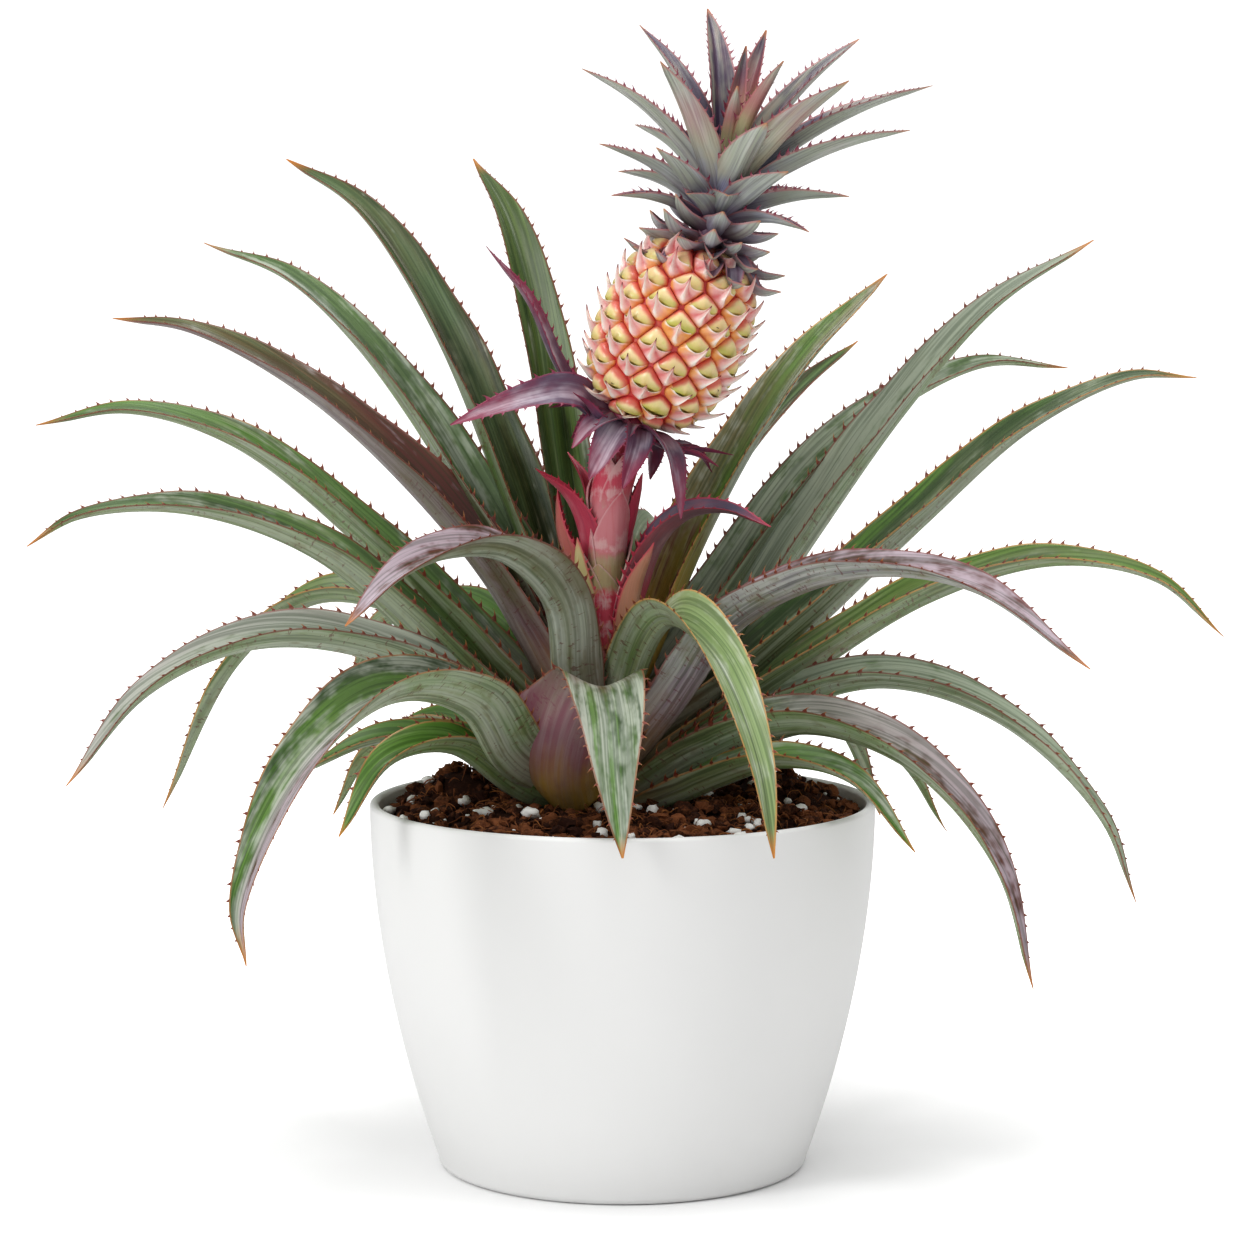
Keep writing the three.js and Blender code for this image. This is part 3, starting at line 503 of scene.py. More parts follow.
def blade(shape, path, side, width, *, thickness, spine, spacing, ribs, wave, seed, look, taper=long_taper,
          channel=(66, 50, 25), first_spine=0.1, columns=25, pace=2.8 * MM, foot=(0.3, 0.0, 0.15)):
    """A channelled blade that tapers to a point, with hooked spines along both margins.

    Width, ribs and wave are in millimetres. Channel is how steep its sides are at foot, middle and tip, in
    degrees. Foot is how much wider it is near its foot, where, and how far that reaches. It carries these
    surface values: along from foot to tip, across from margin to margin, under for the lower face, rim for
    the distance to the margin, hook along each spine, sheet for its place on the flat blade, and those of
    its look.
    """
    draw = random.Random(seed)
    steps = max(14, int(smooth_path(path, 60)[2] / pace))
    centres, along, total = smooth_path(path, steps)
    t = np.linspace(0, 1, steps)
    across = unit(side - along * (along @ side)[:, None])
    up = np.cross(along, across)
    swelling, middle, spread = foot
    near_foot = np.exp(-(((t - middle) / spread) ** 2))
    half = np.maximum(width * MM / 2 * taper(np.minimum(t, 0.9995)), POINT_WIDTH) * (1 + swelling * near_foot)
    bend = np.radians(np.interp(t, [0, 0.5, 1], channel))
    reach = (half * np.cos(bend))[:, None]
    rise = (half * np.sin(bend))[:, None]

    # Section: a soft V that is rounder near the foot, with ribs, and margins that wave a little.
    s = np.linspace(-1, 1, columns)
    soft = (0.25 + (0.3 + swelling) * near_foot)[:, None]
    vee = (np.sqrt(s**2 + soft**2) - soft) / (np.sqrt(1 + soft**2) - soft)
    waves = np.array([[noise.noise((x * total / WAVE_LENGTH, 7.1 * sign + seed, 3.3)) for sign in (-1, 1)] for x in t])
    sway = np.where(s < 0, waves[:, :1], waves[:, 1:]) * s**2 * wave * MM * np.sin(t * math.pi)[:, None] ** 0.5
    swell = np.array([[0.65 + 0.7 * noise.noise((u * 5, x * 6, seed)) for u in s] for x in t])
    ridge = np.cos(s * draw.choice((4, 5, 6)) * math.pi + draw.uniform(0, 6)) * (1 - s**6)
    z = rise * (vee - 0.5) + sway + ribs * MM * ridge * swell * (half / half.max())[:, None]
    x = reach * s
    slope_x, slope_z = np.gradient(x, axis=1), np.gradient(z, axis=1)
    size = np.hypot(slope_x, slope_z) + 1e-12
    thick = thickness * (1 - 0.25 * t)[:, None] * (1 - 0.6 * s**2) * np.minimum(1, half / (2 * MM))[:, None]
    upper = centres[:, None] + x[..., None] * across[:, None] + z[..., None] * up[:, None]
    normal = unit((-slope_z / size)[..., None] * across[:, None] + (slope_x / size)[..., None] * up[:, None])
    lower = upper - thick[..., None] * normal
    outward = [
        unit(-(slope_x[:, 0, None] * across + slope_z[:, 0, None] * up)),
        unit(slope_x[:, -1, None] * across + slope_z[:, -1, None] * up),
    ]
    margins = [(upper[:, k] + lower[:, k]) / 2 + outward[k] * MARGIN_BULGE for k in (0, -1)]

    # Rings of points: upper face, right margin, lower face, left margin
    rings = np.concatenate([upper, margins[1][:, None], lower[:, ::-1], margins[0][:, None]], axis=1)
    grid = rings.shape[:2]
    lay = np.broadcast_to(np.concatenate([s, [1.0], s[::-1], [-1.0]]), grid)
    face = np.broadcast_to(np.concatenate([np.zeros(columns), [0.5], np.ones(columns), [0.5]]), grid)
    run = np.broadcast_to(t[:, None], grid)
    laid_out = 0.03 * width * MM + 0.94 * half[:, None]
    own = seed * 0.137  # sets each blade's pattern apart
    sheet = np.stack([run * total, lay * laid_out, np.full(grid, own)], axis=-1)
    rim = (1 - np.abs(lay)) * half[:, None]
    shape.add(rings, rolled(grid), along=run.ravel(), across=lay.ravel(), under=face.ravel(), rim=rim.ravel(),
              sheet=sheet.reshape(-1, 3), hook=0.0, **look.at(run, lay))

    for k, sign in ((0, -1), (1, 1)):
        place = total * first_spine + spacing * draw.uniform(0.2, 0.8)
        while place < total * LAST_SPINE and spine > 0:
            share = place / total
            wide, root, out, ahead = (between(rows, share) for rows in (half, margins[k], outward[k], along))
            size = spine * mix(1.0, 0.45, share) * draw.uniform(0.7, 1.2) * min(1, 0.35 + wide / (5 * MM))
            hook(shape, root, out, ahead, size, draw, along=share, across=float(sign),
                 sheet=(place, sign * 0.5 * width * MM, own), **look.at(share, sign))
            place += spacing * mix(1.0, 0.7, share) * draw.uniform(0.75, 1.25)


def between(rows, share):
    """The value at a share of the way through even rows."""
    at = share * (len(rows) - 1)
    low = int(at)
    return rows[low] + (rows[min(low + 1, len(rows) - 1)] - rows[low]) * (at - low)


def hook(shape, base, out, ahead, size, draw, **values):
    """One spine: a flat thorn that bends towards the blade's tip."""
    flat = unit(np.cross(out, ahead))
    lean = draw.uniform(0.6, 1.0)
    lift = flat * draw.uniform(-0.25, 0.25)
    corners = np.array([[1, 0], [0, 1], [-1, 0], [0, -1]])
    rings = []
    for b, w in zip(SPINE_BOW, SPINE_THICKNESS):
        centre = base + size * (out * b * 0.85 + ahead * lean * b * abs(b) + lift * b * b)
        rings.append([centre + ahead * e * w * size * 0.4 + flat * f * w * size * 0.13 for e, f in corners])
    height = np.repeat(np.maximum(SPINE_BOW, 0), len(corners))
    shape.add(np.array(rings), rolled((len(rings), len(corners))), under=0.5, rim=0.0, hook=0.15 + 0.85 * height,
              **values)


# Leaves

STEM_X = -5.0  # the stem stands this far left of the pot's middle
TIP_FORWARD = 18.0  # degrees that leaves to the left and right turn their faces forwards

# The leaves from leaf_01 on: azimuth, width, path from foot to tip as (reach, height, turn), and look.
ROSETTE = [
    (140, 34, [(7, 152), (24, 190), (41, 226), (73, 281), (112, 323), (151, 341)],
     Look(purple=0.25, purple_tip=0.35, fresh=0.1, bloom=0.15, olive=0.65, dark=0.75, flush=0.3)),
    (152, 31, [(7, 147), (28, 190), (59, 236), (96, 278), (126, 300), (162, 311)],
     Look(fresh=0.3, bloom=0.55, dark=0.15, flush=0.2)),
    (167, 32, [(7, 143), (30, 190), (61, 227), (102, 261), (146, 282), (175, 285)],
     Look(purple=1.1, purple_tip=0.25, fresh=0.1, bloom=0.1, under=0.8, olive=0.9, dark=0.3, flush=0.6)),
    (180, 31, [(7, 138), (43, 177), (80, 214), (123, 246), (160, 256), (191, 250)],
     Look(fresh=0.5, bloom=0.25, dark=0.3, flush=0.5)),
    (190, 29, [(7, 133), (50, 172), (96, 211), (140, 225), (176, 222), (192, 212)],
     Look(fresh=0.4, bloom=0.3, dark=0.3, flush=0.35)),
    (203, 32, [(7, 128), (40, 158), (84, 181), (125, 184), (160, 169), (186, 139)],
     Look(purple=0.1, purple_tip=0.5, fresh=0.1, bloom=1.35, dark=0.6, flush=0.2)),
    (158, 25, [(7, 132), (45, 172), (80, 189), (111, 190), (142, 166), (171, 111)],
     Look(fresh=0.9, bloom=0.05, olive=0.35, flush=0.1)),
    (232, 37, [(9, 126, -22), (40, 142, -9), (70, 167, -1), (111, 173), (152, 152), (178, 112), (175, 94)],
     Look(purple=0.45, purple_tip=0.6, lean=1.2, fresh=0.6, bloom=0.9, dark=0.45, flush=0.35)),
    (216, 26, [(9, 123), (36, 134), (62, 149), (88, 145), (106, 121)],
     Look(fresh=0.7, bloom=0.1, dark=0.4, flush=0.3)),
    (172, 23, [(8, 124), (45, 141), (76, 145), (108, 130)],
     Look(fresh=0.7, bloom=0.1, flush=0.2)),
    (118, 33, [(6, 157), (18, 190), (34, 236), (50, 282), (74, 320), (103, 341)],
     Look(purple=0.2, purple_tip=0.1, fresh=0.35, bloom=0.15, olive=0.35, dark=0.5, flush=0.6)),
    (235, 32, [(9, 140), (20, 164), (28, 195), (55, 213), (88, 215), (114, 208), (138, 194)],
     Look(purple=0.3, purple_tip=1.2, fresh=0.2, bloom=0.9, under=0.5, dark=0.3, flush=0.3)),
    (42, 32, [(6, 156), (33, 203), (59, 238), (89, 269), (134, 300)],
     Look(purple_tip=0.3, fresh=0.9, bloom=0.6, dark=-0.2, olive=1.2, flush=0.5)),
    (57, 22, [(6, 150), (40, 199), (80, 233), (124, 258), (170, 275)],
     Look(purple_tip=0.4, fresh=0.3, bloom=0.1, dark=0.7, flush=0.3)),
    (22, 32, [(7, 146), (40, 172), (72, 213), (106, 254), (145, 291), (184, 312)],
     Look(fresh=0.25, bloom=1.4, dark=0.1, under=0.3, flush=0.3)),
    (33, 29, [(7, 150), (48, 195), (84, 234), (120, 256), (160, 269), (199, 266)],
     Look(fresh=0.3, bloom=0.9, dark=0.0, under=0.2, flush=0.25)),
    (8, 31, [(7, 140), (62, 181), (105, 219), (145, 251), (181, 266), (203, 265)],
     Look(fresh=0.8, bloom=0.15, dark=0.8, under=0.5, flush=0.4)),
    (0, 27, [(7, 133), (58, 166), (107, 195), (150, 206), (185, 199), (207, 179)],
     Look(fresh=0.85, bloom=0.1, olive=0.35, dark=0.15, flush=0.25)),
    (-38, 27, [(7, 138), (23, 157), (52, 190), (98, 208), (145, 205), (187, 181)],
     Look(purple=0.6, purple_tip=1.2, fresh=0.1, bloom=0.85, under=0.9, dark=0.3, flush=0.4)),
    (-8, 25, [(7, 127), (45, 153), (91, 168), (133, 155), (166, 122), (177, 93)],
     Look(fresh=0.35, bloom=1.05, dark=0.1, flush=0.2)),
    (-27, 28, [(7, 124), (34, 144), (74, 156), (113, 144), (142, 112), (153, 73)],
     Look(purple=0.1, purple_tip=0.9, fresh=0.4, bloom=0.7, under=0.2, dark=0.35, flush=0.2)),
    (-35, 21, [(9, 121), (40, 135), (71, 144), (98, 139), (120, 117)],
     Look(fresh=0.7, bloom=0.4, dark=0.0, flush=0.3)),
    (-62, 28, [(8, 140), (18, 172), (42, 192), (75, 182), (102, 150), (111, 120)],
     Look(fresh=1.1, bloom=0.35, dark=-0.5, flush=0.15)),
    (-90, 32, [(18, 124, -40), (31, 147, -25), (44, 170, -3), (64, 163, 1), (86, 143, 2), (98, 120, 3)],
     Look(lean=-0.3, fresh=0.5, bloom=0.75, dark=0.55, under=0.45, flush=1.5)),
    (100, 24, [(6, 148), (25, 170), (60, 190), (105, 192), (150, 168)], Look(fresh=0.5, dark=0.3)),
    (80, 26, [(6, 152), (28, 182), (60, 205), (105, 212), (150, 196)],
     Look(purple=0.5, purple_tip=0.4, fresh=0.2, bloom=0.5, under=0.4)),
    (128, 28, [(7, 138), (40, 165), (85, 184), (130, 176), (160, 142)], Look(fresh=0.6, bloom=0.3)),
    (68, 26, [(7, 138), (40, 160), (85, 178), (125, 168), (155, 132)], Look(fresh=0.5, dark=0.3)),
    (110, 23, [(7, 128), (40, 146), (80, 158), (115, 145), (138, 106)], Look(fresh=0.7)),
    (88, 18, [(8, 123), (40, 134), (75, 142), (105, 130), (120, 104)], Look(fresh=0.6)),
    (45, 25, [(8, 129), (42, 147), (82, 156), (118, 140), (140, 103)],
     Look(purple=0.1, purple_tip=0.5, fresh=0.4, bloom=0.3)),
    (145, 22, [(8, 124), (40, 138), (75, 146), (104, 132), (120, 108)], Look(fresh=0.7)),
    (20, 23, [(8, 124), (42, 140), (78, 147), (108, 134), (126, 106)], Look(fresh=0.6)),
]
# What some leaves have of their own
OWN_SHAPES = {
    "leaf_08": {"foot": (0.0, 0.0, 0.15)},
    "leaf_12": {"foot": (0.45, 0.0, 0.15)},
    "leaf_24": {"foot": (1.3, 0.12, 0.15), "ribs": 0.0, "channel": (46, 18, 16)},
}
PURPLE_LEAVES = ("leaf_03", "leaf_19", "leaf_21")


def leaf_finish(leaves):
    """Satin leaf: streaked green, purple and bloom above, striped grey green below, thin red-brown margins."""
    finish = Finish("leaf_skin", Specular_IOR_Level=0.45, Coat_Roughness=0.28)
    fade, mixed, over = finish.fade, finish.mixed, finish.over
    sheet = finish.vector("sheet")
    purple, fresh, bloom = finish.split(finish.vector("tone"))
    violet, olive, dark = finish.split(finish.vector("shade"))
    along, across, under, rim, hooked, flush = finish.values("along across under rim hook flush")

    lines = finish.noise(sheet, (20, 1300, 9), detail=1)
    streaks = finish.noise(sheet, (13, 300, 9), roughness=0.62)
    bands = finish.noise(sheet, (7, 120, 9))
    clouds = finish.noise(sheet, (34, 80, 9), detail=4, roughness=0.6)
    wear = finish.noise(sheet, (130, 300, 9), detail=2, roughness=0.6)
    flecks = finish.noise(sheet, (800, 330, 9), roughness=0.65)
    stripe = fade(streaks, -0.08, 0.1)
    fine = fade(lines, -0.08, 0.1)
    plain = 1 - fade(flush, 0.9, 1.4) * 0.85  # a swollen foot has no stripes
    yellowing = fresh * olive

    # Upper face
    upper = over(leaves.grey, leaves.green, fresh * 1.2 + clouds * 0.9, 0.1, 0.95)
    upper = over(upper, leaves.olive, bands + clouds * 0.6, -0.25, 0.1, olive)
    upper = over(upper, leaves.deep, dark * 0.8 + bands * 2.6 + clouds * 1.3 + streaks * 1.8, 0.08, 0.75, 0.92)
    upper = over(upper, leaves.pale, clouds, -0.15, 0.15, stripe * 0.4)
    upper = over(upper, leaves.pale, fresh + bands * 0.5, 0.7, 1.2, 0.6)
    upper = over(upper, leaves.purple, purple * 1.25 + bands * 1.2 + clouds * 0.6, 0.25, 0.95, 0.9)
    film = fade(bloom * 0.85 + streaks * 1.5 + bands * 1.3 + clouds * 1.1 + wear * 1.2, 0.28, 0.88)
    powder = over(leaves.bloom, leaves.mauve, purple, 0.2, 0.8)
    upper = mixed(film * (0.56 + 0.25 * fade(purple, 0, 1)), upper, powder)
    # Painted shade: the upper face turns deep green in the crease along the keel.
    upper = over(upper, leaves.deep, abs(across), 0.09, 0.0, 0.45)
    upper = mixed(fine * 0.4, upper, leaves.deep)

    # Underside
    lower = over(leaves.under, leaves.under_purple, violet + clouds * 0.7, 0.2, 0.9)
    lower = mixed(fresh * 0.3, lower, leaves.pale)
    lower = mixed(film * 0.3, lower, leaves.bloom)
    lower = mixed(fine * plain * 0.46, lower, leaves.deep)
    lower = mixed(stripe * plain * 0.3, lower, leaves.bloom)
    lower = over(lower, leaves.olive, wear + clouds * 0.6, 0.0, 0.25, 0.4)
    lower = over(lower, leaves.green, bands + clouds, -0.05, 0.25, 0.35)
    lower = over(lower, leaves.purple, flecks + clouds * 0.3, 0.1, 0.18, 0.6)
    ruddy = violet + across * 0.45 + clouds * 1.2 + bands * plain * 1.2
    lower = over(lower, leaves.purple, ruddy, 0.55, 1.15, 0.45)

    # Foot, margins, tip and spines
    skin = mixed(under, upper, lower)
    low = along - (flush - 0.5) * 0.22 + streaks * 0.1 + clouds * 0.32
    skin = over(skin, leaves.flush, low, 0.3, 0.0, 0.3 + 0.4 * flush)
    heel_end = 0.1 + yellowing * 0.3 + flush * 0.1
    skin = over(skin, leaves.heel, along + streaks * 0.08 + clouds * 0.24, heel_end, 0.02,
                flush * 0.62 + yellowing * 0.6)
    skin = over(skin, leaves.margin, streaks + clouds * 0.7, 0.0, 0.12, fade(along, 0.42, 0.3) * yellowing * 0.7)
    skin = over(skin, leaves.bloom, low, 0.35, 0.1, stripe * 0.12)
    edge = over(leaves.margin, leaves.spine_tip, fresh + clouds * 0.8, 0.35, 0.95, 0.75)
    skin = over(skin, edge, rim + clouds * 0.0003, 0.00045, 0.00012, 0.7)
    skin = over(skin, leaves.tip, along + clouds * 0.06 + streaks * 0.04, 0.94, 1.01, 0.85)
    skin = over(skin, leaves.margin, hooked, 0.02, 0.3)
    skin = over(skin, leaves.spine_tip, hooked + clouds * 0.8, 0.4, 1.0, 0.55)

    relief = (lines * 0.5 + streaks + wear * 0.5) * (1 - along * 0.9)
    finish.set(Base_Color=skin, Roughness=0.32 + 0.14 * film + 0.12 * under + 0.08 * wear + 0.15 * along,
               Coat_Weight=0.45 * (1 - along), Normal=finish.bump(relief, 0.0004))
    return finish.material


class PLANT_OT_leaves(bpy.types.Operator):
    """Build the rosette's leaves, each a channelled blade with hooked spines"""

    bl_idname = "plant.leaves"
    bl_label = "Rosette leaves"

    def execute(self, context):
        leaves = context.scene.plant_leaves
        skin = leaf_finish(leaves)
        for number, (azimuth, width, path, look) in enumerate(ROSETTE, 1):
            name = f"leaf_{number:02d}"
            side = crosswise(azimuth, math.cos(math.radians(azimuth)) * steep(TIP_FORWARD))
            own = {"ribs": 0.12, **OWN_SHAPES.get(name, {})}
            shape = Shape()
            blade(shape, reach_path(azimuth, path, (STEM_X, 0)), side, width, thickness=leaves.thickness,
                  spine=leaves.spine, spacing=leaves.spacing, wave=1.4, seed=number, look=look, **own)
            piece = shape.piece(f"{name}_blade", skin, crease=75)
            settle(piece, "leaf_purple" if name in PURPLE_LEAVES else "leaf_green", name)
        return {"FINISHED"}


# Fruit

FRUIT_BASE = np.array([2.0, 0, 248.5]) * MM
FRUIT_LEAN = 24.0  # degrees from upright, to the right
FRUIT_AXIS = np.array([math.sin(math.radians(FRUIT_LEAN)), 0, math.cos(math.radians(FRUIT_LEAN))])
FRUIT_MIDDLE = 35.4  # how far up the fruit's axis its middle is
FRUIT_SQUARENESS = 2.5  # 2 is an ellipsoid, more is a barrel
GOLDEN_ANGLE = math.radians(137.508)
NEIGHBOURHOOD = 16 * MM  # eyes nearer than this bound each other's cells
EYE_REACH = 6.4 * MM  # the most that an eye reaches from its middle
EYE_ANGLES = np.linspace(0, 2 * math.pi, 28, endpoint=False)
DOME_SHARES = np.array([0.0, 0.22, 0.44, 0.62, 0.76, 0.87, 0.95, 1.02])  # of the way out to an eye's groove
# A bract from the groove to its point: share of the way out, height, and lean, as shares of its height.
BRACT_PROFILE = np.array([
    (1.03, -0.07, 0), (0.97, 0.07, 0), (0.89, 0.16, 0), (0.78, 0.23, 0), (0.65, 0.29, 0), (0.52, 0.35, 0),
    (0.4, 0.42, 0), (0.3, 0.5, 0.01), (0.22, 0.58, 0.04), (0.165, 0.66, 0.09), (0.125, 0.73, 0.15),
    (0.09, 0.8, 0.23), (0.06, 0.87, 0.32), (0.03, 0.94, 0.42), (0.006, 1.0, 0.53),
])


def fruit_radius(fruit, h):
    """Radius of the fruit's skin at a height from -1 to 1."""
    return fruit.radius * np.maximum(0, 1 - np.abs(h) ** FRUIT_SQUARENESS) ** (1 / FRUIT_SQUARENESS)


def eye_heights(fruit):
    """Heights that give every eye the same share of the skin."""
    h = -np.cos(np.linspace(0, math.pi, 401))
    r = fruit_radius(fruit, h)
    area = (r[1:] + r[:-1]) * np.hypot(np.diff(r), np.diff(h) * fruit.half_length)
    total = np.concatenate([[0], np.cumsum(area)])
    return np.interp((np.arange(fruit.eyes) + 0.5) / fruit.eyes * total[-1], total, h)


class Skin:
    """The fruit's barrel, for points to be laid on."""

    def __init__(self, fruit):
        self.fruit = fruit
        self.centre = FRUIT_BASE + FRUIT_AXIS * FRUIT_MIDDLE * MM
        self.east = np.array([FRUIT_AXIS[2], 0, -FRUIT_AXIS[0]])
        self.north = np.array([0.0, 1.0, 0.0])

    def point(self, azimuth, h):
        """A point of the skin, and the direction out of it."""
        h = np.clip(h, -0.995, 0.995)
        r = fruit_radius(self.fruit, h)
        slope = (fruit_radius(self.fruit, np.minimum(h + 0.004, 0.999))
                 - fruit_radius(self.fruit, np.maximum(h - 0.004, -0.999))) / (0.008 * self.fruit.half_length)
        out = np.multiply.outer(np.cos(azimuth), self.east) + np.multiply.outer(np.sin(azimuth), self.north)
        place = self.centre + np.multiply.outer(h * self.fruit.half_length, FRUIT_AXIS) + r[..., None] * out
        return place, unit(out - slope[..., None] * FRUIT_AXIS)

    def drop(self, points):
        """Points put on the skin straight below or above them."""
        spoke = points - self.centre
        h = spoke @ FRUIT_AXIS / self.fruit.half_length
        return self.point(np.arctan2(spoke @ self.north, spoke @ self.east), h)


def fruit_finish(fruit):
    """Waxy fruit skin: yellow-green eyes, pale pink bracts, coral grooves and red points."""
    finish = Finish("fruit_skin", Specular_IOR_Level=0.5, Subsurface_Weight=0.1, Subsurface_Scale=0.002,
                    Subsurface_Radius=(1.0, 0.4, 0.25), Coat_Weight=0.35, Coat_Roughness=0.15)
    fade, mixed, over = finish.fade, finish.mixed, finish.over
    depth, high, bract, ridge, tip, ripe, dry = finish.values("depth high bract ridge tip ripe dry")
    place = finish.place()
    mottle = finish.noise(place, 420, roughness=0.6)
    broad = finish.noise(place, 70, detail=2)
    fine = finish.noise(place, 1600, detail=2)

    # Cream towards the upper side of each eye: partly the eye's own cream, partly a painted highlight where the light
    # from above falls.
    eye = over(fruit.eye, fruit.cream, high + mottle * 0.6 + broad, -0.15, 0.8)
    eye = mixed(ripe * 0.7, eye, fruit.cream)
    eye = over(eye, fruit.coral, depth + high * 0.15 + mottle * 0.2 + broad * 0.7, 0.7, 1.05, 0.8)
    eye = over(eye, fruit.coral, depth + mottle * 0.1, 0.94, 1.02, 0.8)

    scale = over(fruit.glow, fruit.bract, tip + mottle * 0.3 + broad * 1.1 + (0.4 - ridge) * 0.2, 0.04, 0.36)
    # Painted shade: coral in the hollows between each bract's keel and its edges.
    painted_hollow_shade = fade(abs(ridge - 0.45), 0.3, 0.0)
    scale = over(scale, fruit.coral, broad + mottle * 0.5, -0.25, 0.15, painted_hollow_shade * 0.7)
    scale = over(scale, fruit.coral, tip, 0.05, 0.0, 0.6)
    scale = over(scale, fruit.white, tip + mottle * 0.2, 0.4, 0.65, (1 - ripe) * 0.5)
    scale = over(scale, fruit.coral, tip + mottle * 0.3, 0.72, 1.0, 0.8)
    crest = fade(ridge + fine * 0.1, 0.2, 0.05) + fade(ridge, 0.86, 0.97)
    scale = over(scale, fruit.white, tip, 0.02, 0.3, crest * 0.9)
    scale = over(scale, fruit.spike, tip + mottle * 0.2, 0.82, 0.98)

    skin = mixed(bract, eye, scale)
    skin = over(skin, fruit.coral, mottle + broad, -0.3, 0.3, ripe * 0.55)
    skin = mixed(dry, skin, fruit.dry)
    finish.set(Base_Color=skin, Roughness=0.37 + 0.14 * mottle,
               Normal=finish.bump(mottle * 0.6 + fine * 0.35, 0.0003, 0.5))
    return finish.material


class Eye:
    """One eye of the fruit: its place, how far its cell reaches at each angle, its size and how ripe it is."""

    def __init__(self, skin, centre, out, others, size, ripe, draw):
        self.skin, self.centre, self.out = skin, centre, out
        self.size, self.ripe, self.draw = size, ripe, draw
        self.east = unit(np.cross(FRUIT_AXIS, out))
        self.north = np.cross(out, self.east)
        reach = np.minimum(self.half_way(others - centre), EYE_REACH)
        self.reach = mix(reach, reach.mean(), 0.12)

    def half_way(self, gaps):
        """How far it is at each angle to the border with the nearest neighbour."""
        near = gaps[np.linalg.norm(gaps, axis=1) < NEIGHBOURHOOD]
        offsets = np.stack([near @ self.east, near @ self.north], axis=1)
        ahead = np.stack([np.cos(EYE_ANGLES), np.sin(EYE_ANGLES)], axis=1) @ offsets.T
        border = (offsets**2).sum(axis=1) / 2
        return np.where(ahead > 1e-9, border / np.maximum(ahead, 1e-9), np.inf).min(axis=1)

    def laid(self, distance, angle):
        """Points of the skin at distances and angles from the eye's middle, and the directions out there."""
        flat = (distance * np.cos(angle))[..., None] * self.east + (distance * np.sin(angle))[..., None] * self.north
        return self.skin.drop(self.centre + flat)

    def swell(self, share, turn):
        """Height in millimetres of the rounded eye at a share of its reach, lower where its bract lies over it."""
        covered = np.clip(0.1 - 2 * np.sin(turn), 0, 1)
        height = 3.5 * np.maximum(0, 1 - share**2.7) ** 0.5 * (1 + 0.2 * np.sin(turn) * share)
        return height * (1 - 0.6 * covered * np.minimum(1, share * 4)) - 0.65

    def dome(self, shape):
        """The rounded eye between its grooves, closed by a point inside the fruit."""
        shares = DOME_SHARES[:, None]
        rings, around = len(shares), len(EYE_ANGLES)
        ground, out = self.laid(shares * self.reach, np.broadcast_to(EYE_ANGLES, (rings, around)))
        points = ground + (self.swell(shares, EYE_ANGLES) * MM * self.size)[..., None] * out
        inner = self.skin.drop(self.centre[None])[0] - self.out * 2.4 * MM
        bottom, top = (rings - 1) * around, (rings - 1) * around + 1
        faces = [face[::-1] for face in rolled((rings - 1, around))[:-2]]
        faces += [(bottom - around + j, bottom, bottom - around + (j + 1) % around) for j in range(around)]
        faces += [(j, (j + 1) % around, top) for j in range(around)]
        high = np.sin(EYE_ANGLES) * shares
        shape.add(np.vstack([points[1:].reshape(-1, 3), inner, points[0, :1]]), faces,
                  depth=np.concatenate([np.repeat(shares[1:], around), [1.0, 0.0]]),
                  high=np.concatenate([high[1:].ravel(), [0.0, 0.0]]), ripe=self.ripe)

    def bract(self, shape, stand):
        """The pointed scale over the eye's lower half: three ridges up to a bent point, and hollows between."""
        a = np.linspace(-1, 1, 21)
        share, high, lean = BRACT_PROFILE.T
        apex = self.centre + (self.north * -0.04 + self.east * self.draw.uniform(-0.16, 0.16)) * self.reach.mean()
        tall = stand * self.size * self.draw.uniform(0.85, 1.12)
        spread = math.radians(self.draw.uniform(94, 106)) * mix(0.66, 1.0, np.minimum(1, share) ** 1.2)[:, None]
        turn = math.radians(270) + a * spread
        edge = np.interp(turn, EYE_ANGLES, self.reach, period=2 * math.pi)
        foot, _ = self.laid(edge, turn)
        reach = share[:, None, None]
        ground, out = self.skin.drop(apex + reach * (foot - apex))
        keel = 1.15 * np.exp(-((a / 0.13) ** 2)) + 0.6 * np.exp(-(((np.abs(a) - 1) / 0.14) ** 2))
        hollow = 0.95 * np.sin(a * math.pi) ** 2
        relief = (keel - hollow) * np.clip(4 * share * (1 - share), 0, 1)[:, None] ** 0.7
        height = high[:, None] * tall + relief * MM * self.size
        bend = (lean * tall * self.draw.uniform(0.7, 1.2))[:, None, None] * self.north
        outer = ground + height[..., None] * out + bend
        inner = outer - 0.5 * MM * self.size * (0.3 + 0.7 * np.minimum(1, reach * 2)) * out
        slab(shape, outer[:, ::-1], inner[:, ::-1], bract=1.0, ripe=self.ripe, ridge=np.abs(a),
             tip=np.linspace(0, 1, len(share))[:, None])

    def dry_flower(self, shape):
        """A few curled brown threads that are left of the flower."""
        for _ in range(self.draw.choice((0, 0, 1, 2, 3))):
            start = self.laid(np.array([0.2 * self.reach.mean()]), np.array([self.draw.uniform(0.6, 2.5)]))[0][0]
            a, size = self.draw.uniform(0, 6.3), self.draw.uniform(1.2, 2.6) * MM
            way = math.cos(a) * self.east + math.sin(a) * self.north
            other = np.cross(self.out, way)
            points = [start + self.out * (1.7 * MM * self.size + size * 0.55 * math.sin(s * 2.2))
                      + way * size * s * 0.7 + other * size * 0.3 * s * s for s in np.linspace(0, 1, 5)]
            tube(shape, points, np.array([0.24, 0.2, 0.16, 0.12, 0.05]) * MM, 5, dry=1.0)


